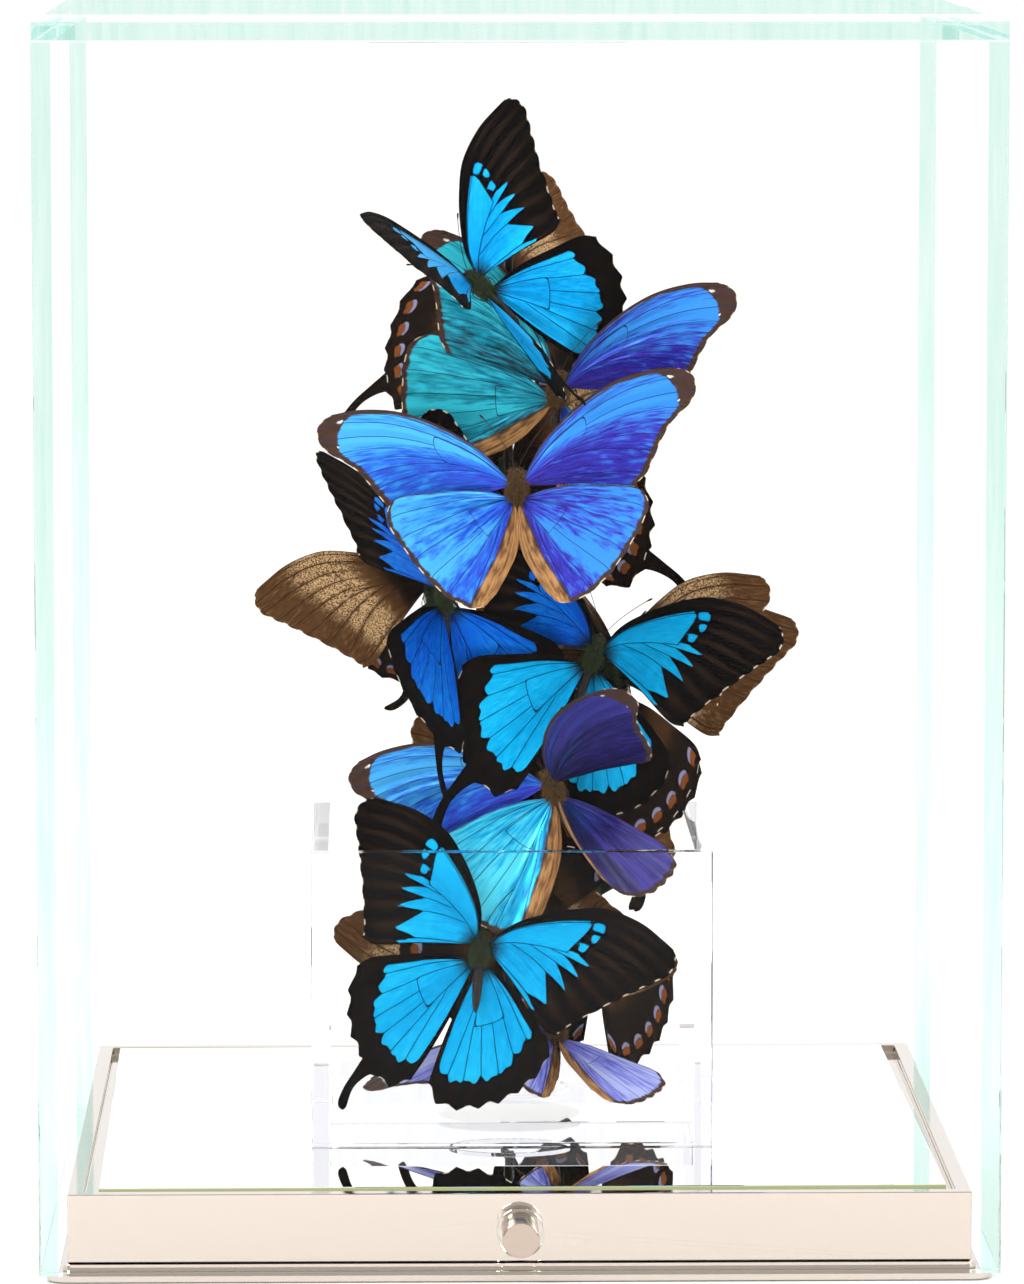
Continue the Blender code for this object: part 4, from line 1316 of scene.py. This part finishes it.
def grow_wing(heap, kind, size, side, wing, facing, root, slots, random):
    """Skin of one wing, and its tail if it has one: the flat grid laid along the wing's own
    axes from its root, plus the relief along the third axis."""
    length = kind.length * size * wing.scale
    w = Surface(kind.plan, length)
    w.fold = wing.fold
    along, across, upper = wing_axes(side, wing, facing)
    flipped = np.dot(np.cross(along, across), upper) > 0
    height = relief(w, wing, random)

    def skin(flat, level, fields, under_fields):
        middle = root + flat[..., :1] * along + flat[..., 1:] * across + level[..., None] * upper
        points, faces, slot = closed_sheet(
            middle + upper * SKIN / 2, middle - upper * SKIN / 2, slots)
        both = {name: np.append(np.broadcast_to(fields.get(name, value), level.shape),
                                np.broadcast_to(under_fields.get(name, value), level.shape))
                for name, value in OUTSIDE.items()}
        heap.take(points, faces[:, ::-1] if flipped else faces, slot, both)

    shared = {"count": w.count, "gap": w.gap, "cell": w.cell, "edge": w.edge,
              "reach": w.r * w.ray, "hue": hue_of(kind, w, random)}
    skin(w.flat, height, kind.marks(w) | shared, kind.under_marks(w) | shared)
    if kind.plan.tail_vein and wing.tail:
        start = np.argmin(abs(w.t[:, 0] - kind.plan.ends[kind.plan.tail_vein]))
        flat = tail_sheet(length, wing.tail)
        fade = np.linspace(1, 0.2, TAIL_STEPS)
        level = np.broadcast_to(height[start, -1] * fade, flat.shape[:2])
        skin(flat, level, {}, {})


# %% [markdown]
# ## Growing a body
#
# The body stands in its own space of three directions: forward along the heading, aside to
# one side, and rise towards its back. Every part is placed in those, so it follows the body
# however it is held. A dried butterfly folds its legs under the thorax and coils its tongue
# under the head. They are thin tubes here, and a club swells at each antenna's end.

# %% Where a body stands
Body = namedtuple("Body", "species size place heading sideways upper")


def body_at(species, size, place, heading, facing):
    """A body's place and its three directions: the heading, a vector square to it in the
    front plane, and their cross product, turned so that it rises from the insect's back."""
    sideways = np.array([-heading[2], 0, heading[0]])
    sideways /= np.linalg.norm(sideways)
    upper = np.cross(heading, sideways)
    if upper[1] * facing > 0:
        upper = -upper
    return Body(species, size, place, heading, sideways, upper)


def spot(body, forward, aside, rise):
    """Place plus size times the sum of the three directions, each times its share in mm."""
    return body.place + body.size * (forward * body.heading + aside * body.sideways
                                     + rise * body.upper)


# %% Antennae, legs, tongue and eyes
ANTENNA = ((7.0, 0.5, 0.6), (11, 2.2, 1.4), (16, 5.2, 1.2), (21.5, 9.5, 0.4), (24, 12.0, -0.6))
HIP = (1.0, -1.6)            # aside and rise in mm
LEG = ((0.5, 3.0, -4.0), (-2.5, 3.6, -5.4), (-6.5, 2.2, -5.0), (-9.0, 2.6, -5.6))
LEG_STARTS = ((2.5, 0.9), (0.3, 1.0), (-1.8, 1.15))      # forward in mm, and reach
ANTENNA_STEPS, LEG_STEPS, COIL_STEPS = 30, 20, 60
EYE_RINGS, EYE_SIDES, EYE_RADIUS = 8, 12, 0.95


def antenna_of(body, side):
    """Curve and radii of an antenna in mm: 0.13, with a club of 0.22 more at its end."""
    line = smooth_line([spot(body, forward, aside * side, rise)
                        for forward, aside, rise in ANTENNA], ANTENNA_STEPS)
    s = np.linspace(0, 1, ANTENNA_STEPS)
    club = smooth_step(s, 0.8, 0.95) * (1 - smooth_step(s, 0.97, 1.05))
    return line, body.size * (0.13 + 0.22 * club)


def leg_of(body, side, start, reach):
    """Curve and radii of a folded leg in mm: hip, knee, shin and foot, from 0.24 to 0.1."""
    line = smooth_line([spot(body, start, HIP[0] * side, HIP[1])]
                       + [spot(body, start + forward, aside * side * reach, rise)
                          for forward, aside, rise in LEG], LEG_STEPS)
    return line, body.size * np.linspace(0.24, 0.1, LEG_STEPS)


def tongue_of(body):
    """Curve and radii of the coiled tongue in mm: a flat spiral, radius 1.25 - 0.07 angle."""
    coil = np.linspace(0, 4.5 * math.pi, COIL_STEPS)
    wind = (1.25 - 0.07 * coil)[:, None]
    line = spot(body, 6.9, 0, -1.9) + body.size * wind * (
        np.cos(coil)[:, None] * body.heading + np.sin(coil)[:, None] * body.upper)
    return line, np.full(COIL_STEPS, 0.12 * body.size)


def eye_of(body, side):
    """Rings of a sphere in mm: radius times sin dome (cos turn heading + sin turn upper)
    plus radius times cos dome sideways."""
    turn = np.linspace(0, 2 * math.pi, EYE_SIDES, endpoint=False)
    dome = np.linspace(0, math.pi, EYE_RINGS)
    ring = (np.cos(turn)[None, :, None] * body.heading
            + np.sin(turn)[None, :, None] * body.upper)
    sphere = (np.sin(dome)[:, None, None] * ring
              + np.cos(dome)[:, None, None] * body.sideways * side)
    return spot(body, 6.2, 0.95 * side, 0.1) + sphere * EYE_RADIUS * body.size


# %% Down on the thorax and the head
DOWN_COUNT = 1800
DOWN_FROM, DOWN_TO = -4.6, 7.0                           # mm along the heading
DOWN_DEPTH = 0.93                                        # of the body's radius
DOWN_BACK, DOWN_MESS = 0.75, 0.38
DOWN_SHORTEST = 0.45                                     # of the longest
DOWN_THICKNESS = 0.1                                     # mm
DOWN_LENGTH = {"swallowtail": 2.5, "morpho": 3.4}        # mm


def grow_down(heap, body, slot, random):
    """Bristles at random places round the body. Each points outwards, less DOWN_BACK times
    the heading, plus a random vector that is DOWN_MESS long on average."""
    profile = np.array(BODIES[body.species])[::-1]
    at = random.uniform(DOWN_FROM, DOWN_TO, DOWN_COUNT)
    turn = random.uniform(0, 2 * math.pi, DOWN_COUNT)
    radius = np.interp(at, profile[:, 1], profile[:, 0])
    outward = (np.cos(turn)[:, None] * body.sideways
               + BODY_FLATNESS * np.sin(turn)[:, None] * body.upper)
    roots = body.place + body.size * (at[:, None] * body.heading
                                      + DOWN_DEPTH * radius[:, None] * outward)
    runs = outward - DOWN_BACK * body.heading + random.normal(0, DOWN_MESS, (DOWN_COUNT, 3))
    runs /= np.linalg.norm(runs, axis=1)[:, None]
    lengths = (body.size * random.uniform(DOWN_SHORTEST, 1, DOWN_COUNT)
               * DOWN_LENGTH[body.species])
    points, triangles = bristles(roots, runs, lengths, DOWN_THICKNESS * body.size)
    heap.take(points, triangles, slot)


# %% One body
def grow_body(heap, body, slots, random):
    """Turned body with antennae, six folded legs, eyes, a coiled tongue and down."""
    chitin_slot, down_slot = slots
    handed = np.dot(np.cross(body.heading, body.upper), body.sideways)
    rings = body_points(BODIES[body.species], body.heading, body.sideways, body.upper)
    faces = ring_faces(BODY_RINGS, BODY_SIDES)
    heap.take(body.place + body.size * rings, faces[:, ::-1] if handed < 0 else faces,
              chitin_slot)

    def thread(curve, sides):
        points = tube(*curve, sides)
        heap.take(points, ring_faces(len(points), sides), chitin_slot)

    for side in (LEFT, RIGHT):
        thread(antenna_of(body, side), 6)
        for start, reach in LEG_STARTS:
            thread(leg_of(body, side, start, reach), 5)
        faces = ring_faces(EYE_RINGS, EYE_SIDES)
        heap.take(eye_of(body, side), faces if handed * side < 0 else faces[:, ::-1],
                  chitin_slot)
    thread(tongue_of(body), 5)
    grow_down(heap, body, down_slot, random)


print("bristles on each butterfly:", DOWN_COUNT)

# %% [markdown]
# ## The sixteen butterflies
#
# The table gives each one its place in mm, the turn of its body, and four wings. A wing's
# turn is measured in the front plane, lean is towards the front, and spin turns its inner
# edge towards the front. The numbers follow the frame's own part, so that each butterfly
# fills the space that its collision body holds. A few wings are turned a little further.
# Copies of one butterfly would be quicker, but no two mounted ones hold their wings alike.

# %% Table of butterflies
Butterfly = namedtuple("Butterfly", "node species size place heading nod facing blues wings")


def wings(left_fore, left_hind, right_fore, right_hind):
    """The four wings of a butterfly by side and pair."""
    return {(LEFT, "fore"): left_fore, (LEFT, "hind"): left_hind,
            (RIGHT, "fore"): right_fore, (RIGHT, "hind"): right_hind}


# Where one butterfly's wings take different blues, these are the same scales painted lighter or
# darker for how each wing faces the light: painted sheen and painted shade.
BUTTERFLIES = (
    Butterfly("swallowtail_crown", "swallowtail", 0.98, (-10.5, -24, 303), 135, 20, FRONT,
              "azure", wings(Wing(147, 43, 76), Wing(-46, 50, 78), Wing(80, -5, -30),
                             Wing(-20, -26))),
    Butterfly("morpho_upper", "morpho", 1, (15, -8, 267.5), 85, 0, FRONT, "sea",
              wings(Wing(130, crease=1.2), Wing(192, crease=1.2), Wing(30, 12, upper="violet"),
                    Wing(-75, 0, -55, upper="sky"))),
    Butterfly("morpho_middle", "morpho", 1, (1, -42, 238.5), 90, 0, FRONT, "sky",
              wings(Wing(163.5), Wing(227, 44, crease=1.0), Wing(32.4, upper="violet"),
                    Wing(-43, 46, upper="violet"))),
    Butterfly("swallowtail_left", "swallowtail", 1, (-22, -22, 201.5), 90, 0, FRONT, "deep",
              wings(Wing(131, 0, -58), Wing(268, 42, -50), Wing(95, 8), Wing(-66, -8))),
    Butterfly("swallowtail_centre", "swallowtail", 1, (26.5, -18, 181.5), 71, 0, FRONT,
              "bright", wings(Wing(131, 0, -30, upper="deep"), Wing(222, 16), Wing(7, 10),
                              Wing(-88, -12, -30))),
    Butterfly("morpho_lower", "morpho", 1, (13, -25, 139), 110, 0, FRONT, "indigo",
              wings(Wing(178.5, -8, upper="sky"), Wing(241, 17, 8, 0.98, upper="cyan", crease=1.2),
                    Wing(62, 55, -12, 1.12), Wing(-47, 22, 60, 0.9, fold=0.86))),
    Butterfly("swallowtail_foot", "swallowtail", 1.03, (-11, -41, 87.5), 85, -20, FRONT,
              "bright", wings(Wing(126, 12), Wing(224, 5, 0, 0.9, 0.8), Wing(-4, -4),
                              Wing(-97, 8, 0, 0.88, 0))),
    Butterfly("morpho_floor", "morpho", 1, (14.5, -12, 57), 90, 0, FRONT, "lilac",
              wings(Wing(198, 0, 75), Wing(230, 58, 0, 0.6), Wing(68, -3, 0, 0.5),
                    Wing(-36, 35, 65, 0.75))),
    Butterfly("swallowtail_back_top", "swallowtail", 1, (0.5, 12, 296.5), 90, 0, BACK, "azure",
              wings(Wing(88, -50, 60), Wing(213, -25, 35), Wing(78, -50), Wing(-48, -50))),
    Butterfly("swallowtail_back_upper", "swallowtail", 1, (-1.5, 22, 236.5), 90, 0, BACK,
              "bright", wings(Wing(125, -30), Wing(209), Wing(35, -5), Wing(-29, -10))),
    Butterfly("swallowtail_back_left", "swallowtail", 0.95, (-25.5, 6, 200.5), 90, 0, BACK,
              "azure", wings(Wing(183.5), Wing(285, -50), Wing(105, -4), Wing(-105, -50))),
    Butterfly("swallowtail_back_right", "swallowtail", 1, (32.5, 4, 170), 90, 0, BACK, "deep",
              wings(Wing(140, -20), Wing(250, -2), Wing(31, -12), Wing(-80, -8, 25))),
    Butterfly("swallowtail_back_far_right", "swallowtail", 1, (36.5, 28, 165.5), 90, 0, BACK,
              "azure", wings(Wing(140, -40), Wing(230, -8), Wing(18.5),
                             Wing(-84, 0, 25, 0.95))),
    Butterfly("swallowtail_back_foot_right", "swallowtail", 1, (28, 34, 91.5), 90, 0, BACK,
              "bright", wings(Wing(120, -15), Wing(250, -20, 0, 1, 0), Wing(75, -15, -30),
                              Wing(-73, 0, 46, 0.97, 0))),
    Butterfly("swallowtail_back_lower", "swallowtail", 1, (6.5, 12, 107), 90, 0, BACK, "azure",
              wings(Wing(125), Wing(232), Wing(80), Wing(-95, 0, 0, 0.9))),
    Butterfly("swallowtail_back_foot_left", "swallowtail", 0.94, (-0.5, 22, 81), -90, 0, BACK,
              "bright", wings(Wing(-8, -1, 0, 0.97), Wing(75), Wing(176), Wing(122))))
print("butterflies in the table:", len(BUTTERFLIES))

# %% [markdown]
# ## Make the butterflies
#
# Each butterfly has its own seed, so that its creases and its down differ from the others'
# and come out the same on every run. Its material slots are its blues, in the order in
# which its wings ask for them, and then the underside, the chitin and the down of its
# species. A forewing overlaps the hindwing on the upper side, so their roots stand a
# little apart.

# %% Make the butterflies
FIRST_SEED = 100
ROOT_PLACE = {"fore": 1.5, "hind": -3}              # mm along the heading
ROOT_RISE = {"fore": -0.45, "hind": 0.45}           # mm along Y, for one that faces the front


def make_butterfly(butterfly, seed):
    """Makes one butterfly's mesh and gives it to the frame. Returns its number of faces."""
    random = np.random.default_rng(seed)
    turn, nod = math.radians(butterfly.heading), math.radians(butterfly.nod)
    heading = np.array([math.cos(turn) * math.cos(nod), -math.sin(nod),
                        math.sin(turn) * math.cos(nod)])
    place = np.array(butterfly.place, float)
    uppers = [butterfly.blues] + [w.upper for w in butterfly.wings.values() if w.upper]
    names = list(dict.fromkeys(uppers)) + [butterfly.species + ending
                                           for ending in ("_under", "_body", "_down")]
    heap = Heap()
    for (side, pair), wing in butterfly.wings.items():
        sideways = np.array([-math.sin(turn), 0, math.cos(turn)]) * side
        root = place + heading * ROOT_PLACE[pair] + sideways
        root[1] += ROOT_RISE[pair] * butterfly.facing
        slots = (names.index(wing.upper or butterfly.blues), len(names) - 3)
        grow_wing(heap, KINDS[butterfly.species, pair], butterfly.size, side, wing,
                  butterfly.facing, root, slots, random)
    body = body_at(butterfly.species, butterfly.size, place, heading, butterfly.facing)
    grow_body(heap, body, (len(names) - 2, len(names) - 1), random)
    name = butterfly.node + "_specimen"
    piece = bpy.data.objects.new(name, heap.mesh(name, [FINISHES[n] for n in names]))
    bpy.context.scene.collection.objects.link(piece)
    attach(piece, "root")
    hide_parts(butterfly.node)
    return len(piece.data.polygons)


counts = [make_butterfly(butterfly, FIRST_SEED + i) for i, butterfly in enumerate(BUTTERFLIES)]
print("butterflies:", len(counts), "with", sum(counts), "faces")
